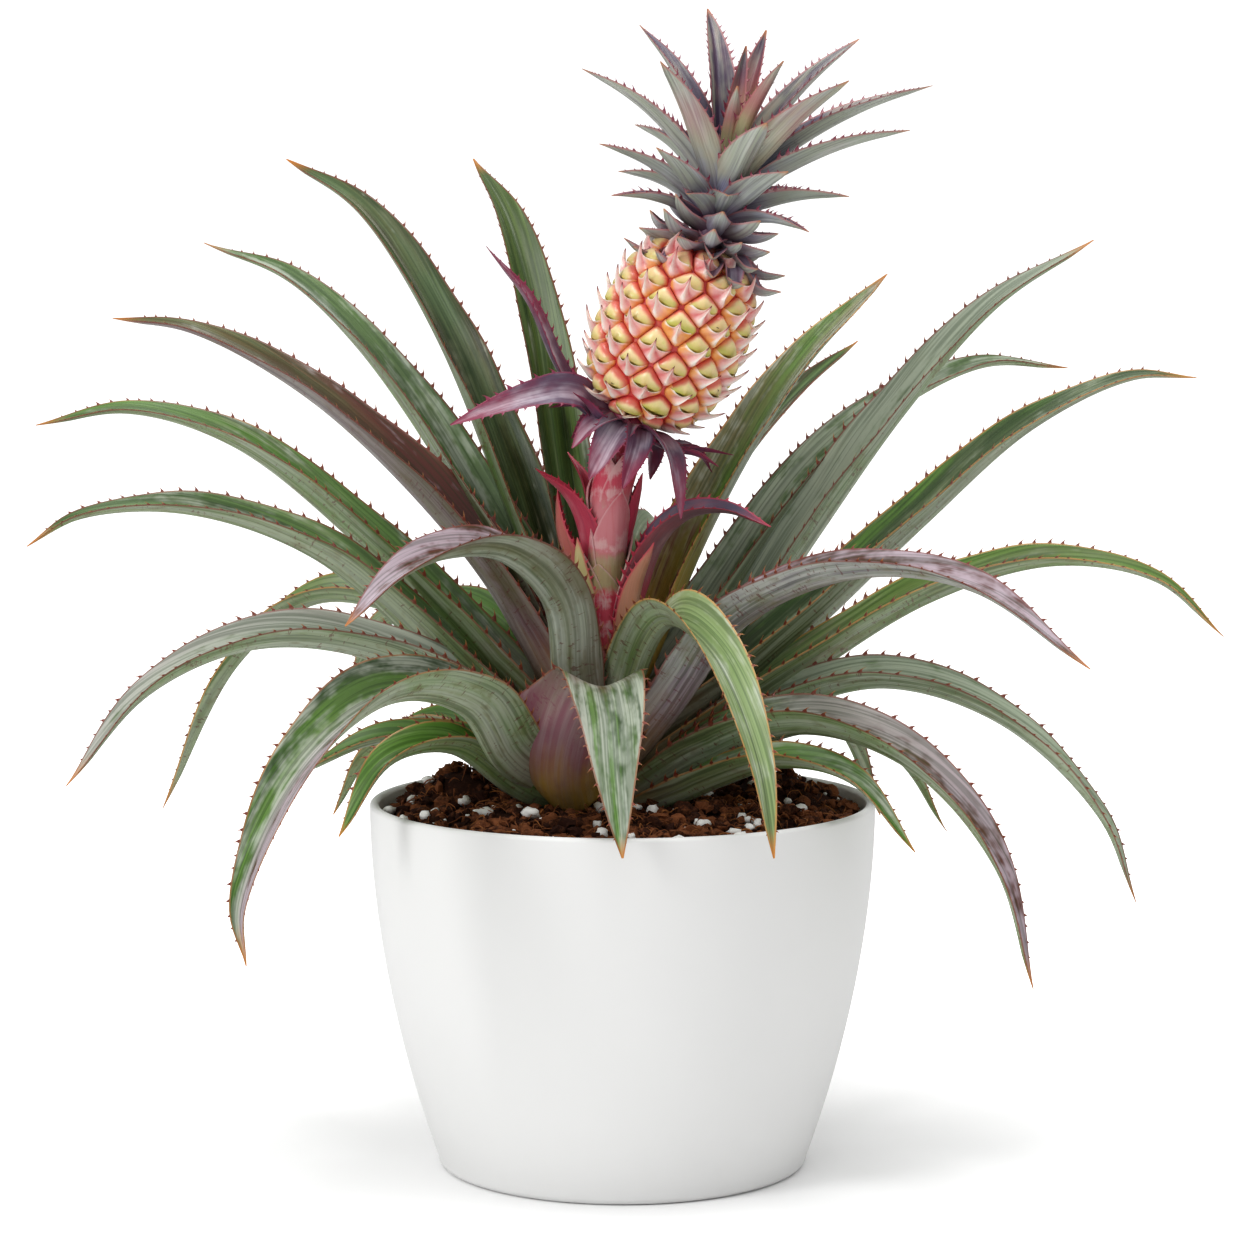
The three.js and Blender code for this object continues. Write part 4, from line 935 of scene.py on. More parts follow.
class PLANT_OT_fruit(bpy.types.Operator):
    """Build the fruit: spiralled eyes with a pointed bract on each"""

    bl_idname = "plant.fruit"
    bl_label = "Fruit"

    def execute(self, context):
        fruit = context.scene.plant_fruit
        skin = Skin(fruit)
        jitter = np.random.default_rng(7).uniform(-1, 1, (2, fruit.eyes))
        heights = eye_heights(fruit) + 0.017 * jitter[0]
        azimuths = -GOLDEN_ANGLE * np.arange(fruit.eyes) + 0.036 * jitter[1]
        centres, outs = skin.point(azimuths, heights)
        shape = Shape()
        draw = random.Random(11)
        for k, (centre, out) in enumerate(zip(centres, outs)):
            size = 0.6 + 0.4 * fruit_radius(fruit, heights[k]) / fruit.radius
            ripe = float(np.clip(0.12 + 0.9 * max(0, heights[k]) ** 2 + draw.uniform(-0.1, 0.25), 0, 1))
            eye = Eye(skin, centre, out, np.delete(centres, k, axis=0), size, ripe, draw)
            eye.dome(shape)
            eye.bract(shape, fruit.stand)
            eye.dry_flower(shape)
        self.core(shape, skin)
        settle(shape.piece("fruit_eyes", fruit_finish(fruit), crease=80), "fruit", "fruit")
        return {"FINISHED"}

    def core(self, shape, skin):
        """The flesh behind the eyes, a little inside their feet."""
        grid = (40, 48)
        heights = np.linspace(-0.985, 0.985, grid[0])[:, None]
        turns = np.linspace(0, 2 * math.pi, grid[1], endpoint=False)
        points, _ = skin.point(np.broadcast_to(turns, grid), np.broadcast_to(heights, grid))
        inward = points + (skin.centre - points) * 0.025
        shape.add(inward, [face[::-1] for face in rolled(grid)], depth=1.0, bract=0.0, ripe=0.5)


# Bracts under the fruit

COLLAR_SEAT = 3.5  # the ring of bracts sits this far up the fruit's axis
LONG_BRACT = 45.0  # bracts that reach further have larger spines
# The disc that the bracts grow from: radius and height of its profile.
COLLAR_DISC = [(0.01, -5), (7, -4), (9, -0.5), (8, 1.5), (0.01, 1.5)]
# Azimuth, width, how far the blade's left margin is tipped up in degrees, and path as [reach from the fruit's axis,
# rise above the fruit's foot], leaning with the fruit.
COLLAR = [
    (200, 14, -55, [(4, -2), (12, -2), (20, 1.5), (28, 0), (36, -5), (47, -14), (58, -25)]),
    (182, 13, -20, [(4, -3), (15, -2), (24, 3), (32, 9), (48, 23), (68, 33)]),
    (225, 12, 0, [(4, -1), (10, -1), (17, -6), (21, -16)]),
    (252, 15, 0, [(4, -1), (10, -1), (15, -7), (18, -23)]),
    (285, 12, 0, [(4, -1), (11, -1), (17, -6), (22, -21)]),
    (315, 13, 0, [(4, -1), (13, 0), (23, -4), (32, -14), (38, -22)]),
    (340, 8, 0, [(4, -3), (16, -3), (25, -1), (34, -2)]),
    (5, 7, 0, [(4, -3), (16, -3), (26, 1), (36, 3)]),
    (32, 9, 0, [(4, -3), (16, -3), (27, 0), (38, -6)]),
    (60, 11, 0, [(4, -3), (14, -4), (22, -7), (28, -17)]),
    (92, 12, 0, [(4, -3), (16, -3), (27, 0), (42, -12)]),
    (125, 11, 0, [(4, -3), (14, -4), (22, -5), (28, -15)]),
    (155, 9, 0, [(4, -3), (14, -4), (22, -3), (30, -8)]),
    (215, 8, 0, [(4, -3), (13, -3), (20, 0), (27, 1)]),
]
# What the small blades have in common
SMALL = {"taper": short_taper, "first_spine": 0.3, "columns": 15}


def bract_finish(name, main, pale, red, dark, green):
    """Thin coloured bract: lengthwise streaks of bloom, red foot and margins, paler keel."""
    finish = Finish(name, Specular_IOR_Level=0.45, Sheen_Weight=0.1, Sheen_Roughness=0.4)
    mixed, over = finish.mixed, finish.over
    sheet = finish.vector("sheet")
    along, across, under, rim, hooked, flush = finish.values("along across under rim hook flush")
    purple, fresh, bloom = finish.split(finish.vector("tone"))
    lines = finish.noise(sheet, (30, 1800, 9), detail=2)
    streaks = finish.noise(sheet, (22, 420, 9), detail=4)
    clouds = finish.noise(sheet, (90, 160, 9))
    skin = over(red, main, purple + clouds * 0.7, 0.2, 0.8)
    skin = over(skin, pale, bloom + streaks * 0.7 + clouds * 1.1 - abs(across) * 0.35, 0.05, 0.8, 0.75)
    skin = over(skin, dark, lines, -0.05, 0.18, 0.3)
    skin = mixed(under * 0.3, skin, dark)
    skin = over(skin, green, along + streaks * 0.4, 0.15, 0.4, under * fresh)
    skin = over(skin, red, along + streaks * 0.3, 0.5, 0.1, flush)
    skin = over(skin, red, rim + clouds * 0.0004, 0.0005, 0.0001, 0.6)
    skin = over(skin, red, along, 0.85, 1.0, 0.6)
    skin = over(skin, red, hooked, 0.0, 0.5)
    finish.set(Base_Color=skin, Roughness=0.43 + 0.14 * streaks,
               Normal=finish.bump(lines * 0.6 + streaks * 0.8, 0.0003, 0.8))
    return finish.material


class PLANT_OT_collar(bpy.types.Operator):
    """Build the ring of purple bracts under the fruit"""

    bl_idname = "plant.collar"
    bl_label = "Bracts under the fruit"

    def execute(self, context):
        crown = context.scene.plant_crown
        lean = leaning(FRUIT_LEAN)
        seat = FRUIT_BASE + FRUIT_AXIS * COLLAR_SEAT * MM
        shape = Shape()
        draw = random.Random(5)
        for number, (azimuth, width, tip, path) in enumerate(COLLAR):
            points = reach_path(azimuth, path) @ lean.T + seat
            side = lean @ crosswise(azimuth, steep(tip))
            long = path[-1][0] > LONG_BRACT
            look = Look(purple=1.2, fresh=0.0, bloom=0.45 if number == 0 else draw.uniform(0.15, 0.6),
                        flush=draw.uniform(0.2, 0.6))
            blade(shape, points, side, width, channel=(12, 26, 22), thickness=0.8 * MM,
                  spine=(3.4 if long else 1.7) * MM, spacing=(5.0 if long else 2.6) * MM, pace=1.4 * MM,
                  ribs=0.14, wave=0.9, seed=60 + number, look=look, **SMALL)
        ring = Shape()
        spun(ring, np.array(COLLAR_DISC) * MM, 24)
        shape.add(np.vstack(ring.points) @ lean.T + seat, ring.faces, along=0.1, rim=0.01, flush=0.8)
        finish = bract_finish("collar_skin", crown.collar, crown.collar_pale, crown.wine, crown.dark, crown.grey)
        settle(shape.piece("fruit_bracts", finish, crease=75), "fruit_collar", "fruit_collar")
        return {"FINISHED"}


# Crown

CROWN_LEAN = 10.5  # degrees from upright, to the right
CROWN_SEAT = 67.0  # the crown sits this far up the fruit's axis
# Azimuth, height of the foot on the core, reach and rise of the tip, width, and how steeply it leaves the core.
CROWN_LEAVES = [
    (168, 16, 54, 47, 14, 55), (140, 19, 48, 66, 15, 68), (112, 22, 40, 76, 16, 75), (70, 24, 16, 71, 12, 85),
    (40, 20, 49, 75, 14, 65), (12, 16, 65, 63, 16, 55), (-8, 12, 58, 46, 15, 50), (-14, 7, 43, 21, 12, 40),
    (-35, 4, 37, 7, 10, 35), (190, 8, 43, 23, 12, 45), (202, 4, 38, 7, 10, 35), (225, 14, 39, 52, 18, 62),
    (-40, 15, 44, 57, 19, 60), (-55, 25, 21, 60, 9, 78), (95, 27, 5, 64, 9, 88), (-68, 13, 27, 39, 19, 60),
    (-48, 8, 30, 25, 18, 45), (-100, 25, 6, 50, 9, 88), (215, 9, 29, 25, 16, 45), (-85, 8, 24, 14, 15, 40),
    (245, 6, 27, 12, 14, 40), (95, 16, 50, 50, 15, 60), (60, 12, 52, 38, 15, 52), (130, 12, 50, 33, 15, 50),
    (35, 8, 41, 21, 12, 45), (80, 9, 40, 20, 14, 42), (150, 7, 40, 16, 12, 42), (115, 6, 36, 8, 12, 38),
]
CROWN_RISE = 3.0  # the leaves stand this much higher than their rows say
# The small curled bracts between fruit and crown, in rings: how many, turn of the first, width, and path as [reach
# from the fruit's axis, rise above the fruit's top].
CROWN_SCALES = [
    (7, 10, 13, [(2, 5), (8, 8), (14, 9.5), (19, 14)]),
    (8, 35, 14, [(3, 1), (10, 4), (16, 3.5), (22, 6.5)]),
    (9, 0, 13, [(4, -1), (13, 1), (19, -1), (26, -0.5)]),
    (10, 20, 11, [(6, -2), (15, -3), (21, -7), (27, -7)]),
]
# The crown's core: height and radius.
CROWN_CORE = [(-6, 7), (0, 7), (4, 6.8), (10, 6.5), (16, 5.5), (22, 4.5), (28, 3), (31, 0.5)]
CORE_EDGE = 3.0  # the leaves' feet are this far from the core's middle


def crown_finish(crown, leaves):
    """Dull grey-green crown leaf: dark purple above, pink and yellow towards the heart, red margins."""
    finish = Finish("crown_skin", Specular_IOR_Level=0.5, Coat_Weight=0.15, Coat_Roughness=0.3)
    fade, mixed, over = finish.fade, finish.mixed, finish.over
    sheet = finish.vector("sheet")
    purple, young, _ = finish.split(finish.vector("tone"))
    along, across, under, rim, hooked = finish.values("along across under rim hook")
    lines = finish.noise(sheet, (40, 1900, 9), detail=2)
    streaks = finish.noise(sheet, (24, 420, 9), detail=4)
    clouds = finish.noise(sheet, (60, 110, 9))

    lower = over(crown.slate, crown.grey, along + clouds * 0.5 + streaks * 0.3, 0.0, 0.42)
    lower = over(lower, crown.pale, streaks + clouds * 0.4, -0.1, 0.22, 0.5)
    lower = over(lower, crown.dark, lines, -0.08, 0.16, 0.4)
    upper = over(crown.dark, crown.grey, streaks + clouds * 0.8, -0.14, 0.28)
    upper = over(upper, crown.wine, clouds + streaks * 0.4, 0.0, 0.2, 0.35)
    skin = mixed(under, upper, lower)
    heart = fade(young + clouds * 0.6, 0.25, 0.9)
    warm = over(crown.young, crown.pink, along + clouds * 0.5, 0.2, 0.6)
    skin = over(skin, warm, along + streaks * 0.4, 0.95, 0.5, heart * 0.8)

    # The curled bracts at the foot
    scaly = over(crown.dark, crown.slate, streaks + clouds * 0.8 + along * 0.2, -0.2, 0.35)
    scaly = over(scaly, crown.wine, along + clouds * 0.9, 0.6, 0.1, 0.5)
    skin = mixed(purple, skin, scaly)

    skin = over(skin, crown.pink, rim + clouds * 0.0004, 0.0005, 0.0001, 0.6)
    skin = over(skin, leaves.tip, along + clouds * 0.1, 0.9, 1.02, (1 - purple) * 0.6)
    # Painted shade of the channel's crease: darker along the keel, on both faces.
    skin = over(skin, crown.dark, abs(across), 0.1, 0.0, 0.2)
    skin = over(skin, crown.wine, hooked, 0.0, 0.5)
    finish.set(Base_Color=skin, Roughness=0.45 + 0.14 * streaks - 0.14 * purple,
               Normal=finish.bump(lines * 0.6 + streaks * 0.8, 0.0003, 0.8))
    return finish.material


def crown_path(azimuth, foot, reach, rise, lift, count=9):
    """A bowed path from the crown's core out to a tip."""
    span = math.hypot(reach - CORE_EDGE, rise - foot) * 0.5
    knee = (CORE_EDGE + math.cos(math.radians(lift)) * span, foot + math.sin(math.radians(lift)) * span)
    start, end = (CORE_EDGE, foot), (reach, rise)
    rows = [[(1 - s) ** 2 * p + 2 * s * (1 - s) * q + s * s * r for p, q, r in zip(start, knee, end)]
            for s in np.linspace(0, 1, count)]
    return reach_path(azimuth, rows)


class PLANT_OT_crown(bpy.types.Operator):
    """Build the tuft of toothed leaves on the fruit"""

    bl_idname = "plant.crown"
    bl_label = "Crown"

    def execute(self, context):
        crown, leaves = context.scene.plant_crown, context.scene.plant_leaves
        lean = leaning(CROWN_LEAN)
        base = FRUIT_BASE + FRUIT_AXIS * CROWN_SEAT * MM + lean @ UP * CROWN_RISE * MM
        shape = Shape()
        for number, (azimuth, foot, reach, rise, width, lift) in enumerate(CROWN_LEAVES):
            front = azimuth < 0 or azimuth > 200
            young = min(1.0, max(0.0, (foot - 9) / 10)) * (1.0 if front or reach < 30 else 0.35)
            blade(shape, crown_path(azimuth, foot, reach, rise, lift) @ lean.T + base, lean @ crosswise(azimuth),
                  width, channel=(50, 42, 25), thickness=0.9 * MM, spine=crown.spine, spacing=4.4 * MM,
                  pace=1.8 * MM, ribs=0.16, wave=0.6, seed=90 + number,
                  look=Look(purple=max(0, 13 - foot) / 13, fresh=young), **SMALL)
        self.scales(shape, crown)
        heights, radii = np.array(CROWN_CORE).T * MM
        tube(shape, np.multiply.outer(heights, UP) @ lean.T + base, radii, 16, along=0.1, rim=0.01, tone=(1, 0, 0))
        settle(shape.piece("crown_leaves", crown_finish(crown, leaves), crease=75), "crown", "crown")
        return {"FINISHED"}

    def scales(self, shape, crown):
        """The curled bracts that lie on the fruit's shoulder."""
        lean = leaning(FRUIT_LEAN - 5)
        base = FRUIT_BASE + FRUIT_AXIS * (CROWN_SEAT - 2) * MM
        draw = random.Random(29)
        for ring, (count, turn, width, path) in enumerate(CROWN_SCALES):
            for k in range(count):
                azimuth = turn + (k + draw.uniform(-0.2, 0.2)) * 360 / count
                rows = [(r * draw.uniform(0.92, 1.1), z + r * draw.uniform(-0.06, 0.08)) for r, z in path]
                points = reach_path(azimuth, rows) @ lean.T + base
                blade(shape, points, lean @ crosswise(azimuth), width * draw.uniform(0.85, 1.1),
                      channel=(20, 38, 40), thickness=0.9 * MM, spine=0.9 * MM, spacing=2.4 * MM, pace=1.2 * MM,
                      ribs=0.14, wave=0.9, seed=130 + 12 * ring + k, look=Look(purple=1.0),
                      **{**SMALL, "columns": 13})


# Stalk

STALK_TOP = 249.0
STALK_FOOT = 100.0
SHEATH_THICKNESS = 0.7
# x and z of the stem's middle line, and its radius there.
STEM = [
    (-5, 100, 6), (-5, 122, 8), (-5.5, 146, 7.4), (-6, 170, 6.4), (-6, 190, 5.8), (-5.5, 208, 5.6), (-4, 227, 5.3),
    (-1.5, 240, 5.2), (2, 249.5, 5.2),
]
# Azimuth, width, how far the left margin is tipped up in degrees, path as [reach, height], and shares of purple and
# of green.
STALK_LEAVES = [
    (-15, 21, 25, [(3, 168), (8, 192), (16, 212), (27, 221.5), (41, 223), (56, 217)], 0.9, 0.1),
    (196, 15, -10, [(3, 196), (8, 218), (14, 228), (25, 236)], 0.0, 0.0),
    (172, 15, 0, [(3, 184), (10, 203), (15, 214), (17, 229)], 0.0, 0.2),
    (212, 13, 0, [(3, 180), (10, 198), (12, 213)], 0.1, 0.9),
    (10, 12, 0, [(2, 204), (8, 221), (12, 234)], 0.1, 0.0),
    (70, 11, 0, [(2, 192), (9, 212), (15, 226), (27, 232)], 0.4, 0.0),
    (125, 9, 0, [(2, 204), (8, 220), (14, 232), (24, 240)], 0.2, 0.0),
    (-45, 16, 0, [(4, 160), (9, 178), (13, 196), (22, 212)], 0.2, 0.4),
    (225, 14, 0, [(4, 158), (9, 172), (12, 186), (15, 199)], 0.1, 0.7),
]
# Azimuth, lowest and highest point, how far round the stalk it wraps in degrees, and how far its point stands off.
SHEATHS = [
    (250, 166, 204, 125, 1.5), (20, 168, 214, 100, 3.0), (300, 186, 228, 105, 1.5), (150, 190, 232, 100, 3.0),
    (235, 205, 241, 105, 1.5), (325, 214, 247, 95, 3.5), (80, 200, 240, 100, 2.5), (200, 172, 208, 95, 3.0),
]


def stem_at(heights):
    """The stem's middle and radius at heights in millimetres."""
    x, z, r = np.array(STEM).T
    return np.interp(heights, z, x), np.interp(heights, z, r)


def stalk_finish(stalk):
    """Fleshy stalk: crimson above, pale bloom in blotches, khaki at the sheaths' feet and in one papery ring."""
    finish = Finish("stalk_skin", Specular_IOR_Level=0.5, Subsurface_Weight=0.06, Subsurface_Scale=0.003)
    fade, over = finish.fade, finish.over
    place = finish.place()
    along, rim = finish.values("along rim")
    blotch = finish.noise(place, 150, detail=4, roughness=0.6)
    wide = finish.noise(place, 60, detail=2)
    stripes = finish.noise(place, (700, 700, 45))
    height = finish.split(place)[2] + blotch * 0.014
    skin = over(stalk.red, stalk.pale, blotch + stripes * 0.4 + wide, -0.08, 0.1, 0.85)
    skin = over(skin, stalk.green, along + blotch * 0.6 + stripes * 0.5, 0.36, 0.0, 0.55)
    skin = over(skin, stalk.green, height, 0.193, 0.198, fade(height, 0.2095, 0.2045) * 0.95)
    skin = over(skin, stalk.pale, height, 0.2, 0.212, fade(height, 0.232, 0.22) * 0.45)
    skin = over(skin, stalk.red, stripes, 0.0, 0.2, 0.3)
    skin = over(skin, stalk.pale, rim + blotch * 0.0005, 0.0007, 0.0, 0.6)
    finish.set(Base_Color=skin, Roughness=0.46 + 0.12 * blotch,
               Normal=finish.bump(stripes * 0.9 + blotch * 0.5, 0.0003, 0.7))
    return finish.material


def sheath(shape, azimuth, low, high, wrap, stand, seed):
    """A scale that hugs the stalk, wraps part of the way round it and ends in a point that stands off."""
    b = np.linspace(0, 1, 15)[:, None]
    a = np.linspace(-1, 1, 13)[None, :]
    heights = low + (high - low) * b
    x, r = stem_at(heights)
    half = math.radians(wrap) * np.maximum((1 - b**2.2) ** 0.8, 0.04)
    turn = math.radians(azimuth) + a * half
    off = 0.5 + stand * b**2.2 + 0.5 * np.sin(b * math.pi)
    wobble = 0.7 * np.sin(a * 5 + seed) * b * (1 - b)
    faces = []
    for out in (r + off + wobble, r + off + wobble - SHEATH_THICKNESS):
        places = (x + out * np.cos(turn), out * np.sin(turn), np.broadcast_to(heights, turn.shape))
        faces.append(np.stack(places, axis=-1) * MM)
    slab(shape, *faces, along=b, rim=(1 - np.abs(a)) * r * half * MM, under=0.0)


class PLANT_OT_stalk(bpy.types.Operator):
    """Build the stem and flower stalk with its sheaths and small leaves"""

    bl_idname = "plant.stalk"
    bl_label = "Stem and stalk"

    def execute(self, context):
        stalk, crown = context.scene.plant_stalk, context.scene.plant_crown
        shape = Shape()
        heights, sides = np.linspace(STALK_FOOT, STALK_TOP, 50), 28
        x, r = stem_at(heights)
        r = r + 0.25 * np.sin(heights * 0.7)
        tube(shape, np.stack([x, 0 * x, heights], axis=1) * MM, r * MM, sides,
             along=(heights.repeat(sides) - STALK_FOOT) / 150, rim=0.01)
        for number, row in enumerate(SHEATHS):
            sheath(shape, *row, seed=number)
        settle(shape.piece("stalk", stalk_finish(stalk), crease=70), "stem", "stem")
        small = Shape()
        for number, (azimuth, width, tip, path, purple, green) in enumerate(STALK_LEAVES):
            blade(small, reach_path(azimuth, path, (STEM_X, 0)), crosswise(azimuth, steep(tip)), width,
                  channel=(62, 50, 30), thickness=0.8 * MM, spine=2.7 * MM, spacing=4.4 * MM, pace=1.6 * MM,
                  ribs=0.16, wave=1.2, seed=160 + number,
                  look=Look(purple=purple * 0.4, purple_tip=purple, fresh=green, bloom=0.3, flush=0.7), **SMALL)
        leaf = bract_finish("stalk_leaf_skin", crown.collar, stalk.pale, stalk.red, crown.wine, crown.young)
        settle(small.piece("stalk_leaves", leaf, crease=75), "stem")
        return {"FINISHED"}


# Pot

FLARE_POWER = 1.9
FOOT_ROUND = 3.2 * MM
LIP_ROUND = 1.5 * MM
AXIS_GAP = 0.01 * MM  # a turned profile stops this near to its axis


def pot_outer(pot, z):
    """Radius of the pot's outside at a height."""
    return pot.rim_radius - pot.flare * (1 - z / pot.height) ** FLARE_POWER


def pot_inner(pot, z):
    return pot_outer(pot, z) - pot.wall


def corner(centre, radius, start, end, steps=7):
    """An arc of a profile, in degrees from outwards."""
    a = np.radians(np.linspace(start, end, steps))
    return np.stack([centre[0] + radius * np.cos(a), centre[1] + radius * np.sin(a)], axis=1)


def pot_finish(pot):
    """Satin white plastic with a faint moulded grain."""
    finish = Finish("pot_white", Specular_IOR_Level=0.5, Coat_Weight=0.12, Coat_Roughness=0.4)
    place = finish.place()
    grain = finish.noise(place, 2600, detail=2)
    haze = finish.noise(place, 18)
    skin = finish.over(pot.white, [channel * 0.975 for channel in pot.white], haze, -0.2, 0.25, 0.5)
    finish.set(Base_Color=skin, Roughness=0.48 + 0.08 * haze, Normal=finish.bump(grain, 0.00006, 0.25))
    return finish.material


class PLANT_OT_pot(bpy.types.Operator):
    """Build the round pot with its rolled lip"""

    bl_idname = "plant.pot"
    bl_label = "Pot"

    def execute(self, context):
        pot = context.scene.plant_pot
        foot = pot_outer(pot, FOOT_ROUND) - FOOT_ROUND
        lip = pot.height - LIP_ROUND
        heights = np.linspace(FOOT_ROUND, lip, 42)[1:-1]
        inner_heights = np.linspace(pot.floor + 4 * MM, lip, 36)[-2:0:-1]
        profile = np.vstack([
            [(AXIS_GAP, 0)],
            corner((foot, FOOT_ROUND), FOOT_ROUND, -90, 0),
            np.stack([pot_outer(pot, heights), heights], axis=1),
            corner((pot.rim_radius - LIP_ROUND, lip), LIP_ROUND, 0, 90),
            corner((pot.rim_radius - pot.wall + LIP_ROUND, lip), LIP_ROUND, 90, 180),
            np.stack([pot_inner(pot, inner_heights), inner_heights], axis=1),
            [(pot_inner(pot, pot.floor) - 2 * MM, pot.floor), (AXIS_GAP, pot.floor)],
        ])
        shape = Shape()
        spun(shape, profile, 160)
        settle(shape.piece("pot_shell", pot_finish(pot), crease=60), "pot", "pot")
        return {"FINISHED"}


# Potting mix

# Heaps: x, y, radius and height.
HEAPS = [(-56, 18, 24, 11), (-30, 38, 26, 8), (8, 50, 30, 6), (54, 22, 26, 9), (34, -20, 22, 2), (-38, -30, 20, 2.5)]
MOUND_REACH = 54 * MM
GRAIN_SIZES = [0.5, 0.7, 0.9, 1.1, 1.5, 1.9, 2.4]
FIBRE_PROFILE = np.array([0.4, 0.8, 1, 1, 0.9, 0.7, 0.25])  # thickness along a fibre
FIBRE_CLEARANCE = 0.8 * MM  # between the fibres and the pot's wall


def ball(subdivisions):
    """Points and faces of a ball made of even triangles."""
    form = bmesh.new()
    bmesh.ops.create_icosphere(form, subdivisions=subdivisions, radius=1)
    points = np.array([vertex.co[:] for vertex in form.verts])
    faces = [tuple(vertex.index for vertex in face.verts) for face in form.faces]
    form.free()
    return points, faces


BALLS = {subdivisions: ball(subdivisions) for subdivisions in (1, 2)}


def lump(shape, centre, radii, turn, draw, subdivisions, rough, **values):
    """A rough rounded lump."""
    points, faces = BALLS[subdivisions]
    shift = Vector((draw.uniform(0, 50), draw.uniform(0, 50), draw.uniform(0, 50)))
    swell = np.array([1 + rough * noise.noise(p * 1.7 + shift) + rough * 0.5 * noise.noise(p * 4 + shift)
                      for p in map(Vector, points)])
    shape.add((points * swell[:, None] * radii) @ np.array(turn).T + centre, faces, **values)


def soil_height(soil, x, y):
    """Height of the potting mix at a place, with its heaps and lumps."""
    r = math.hypot(x - STEM_X * MM * 0.5, y)
    height = soil.edge + soil.mound * math.cos(min(1.57, r / MOUND_REACH))
    for left, back, radius, rise in HEAPS:
        share = math.hypot(x - left * MM, y - back * MM) / (radius * MM)
        height += rise * MM * (0.5 + 0.5 * math.cos(min(1.0, share) * math.pi))
    return height + 1.3 * MM * noise.noise((x * 150, y * 150, 1)) + 0.7 * MM * noise.noise((x * 420, y * 420, 5))


def soil_finish(name, main, dark):
    """Crumbly matt potting mix."""
    finish = Finish(name, Specular_IOR_Level=0.25)
    place = finish.place()
    tint, = finish.values("tint")
    crumbs = finish.noise(place, 700, detail=6, roughness=0.7)
    patches = finish.noise(place, 130)
    skin = finish.over(dark, main, crumbs + patches * 0.6 + tint, -0.18, 0.28)
    finish.set(Base_Color=skin, Roughness=0.88 + 0.12 * crumbs, Normal=finish.bump(crumbs, 0.0012))
    return finish.material


def perlite_finish(soil):
    """Pitted white grains with a little brown dust."""
    finish = Finish("perlite_skin", roughness=0.8, Specular_IOR_Level=0.3)
    place = finish.place()
    pits = finish.noise(place, 1400, detail=4, roughness=0.7)
    dust = finish.noise(place, 300)
    finish.set(Base_Color=finish.over(soil.perlite, soil.fibre, dust + pits * 0.5, 0.1, 0.4, 0.2),
               Normal=finish.bump(pits, 0.0004, 0.7))
    return finish.material


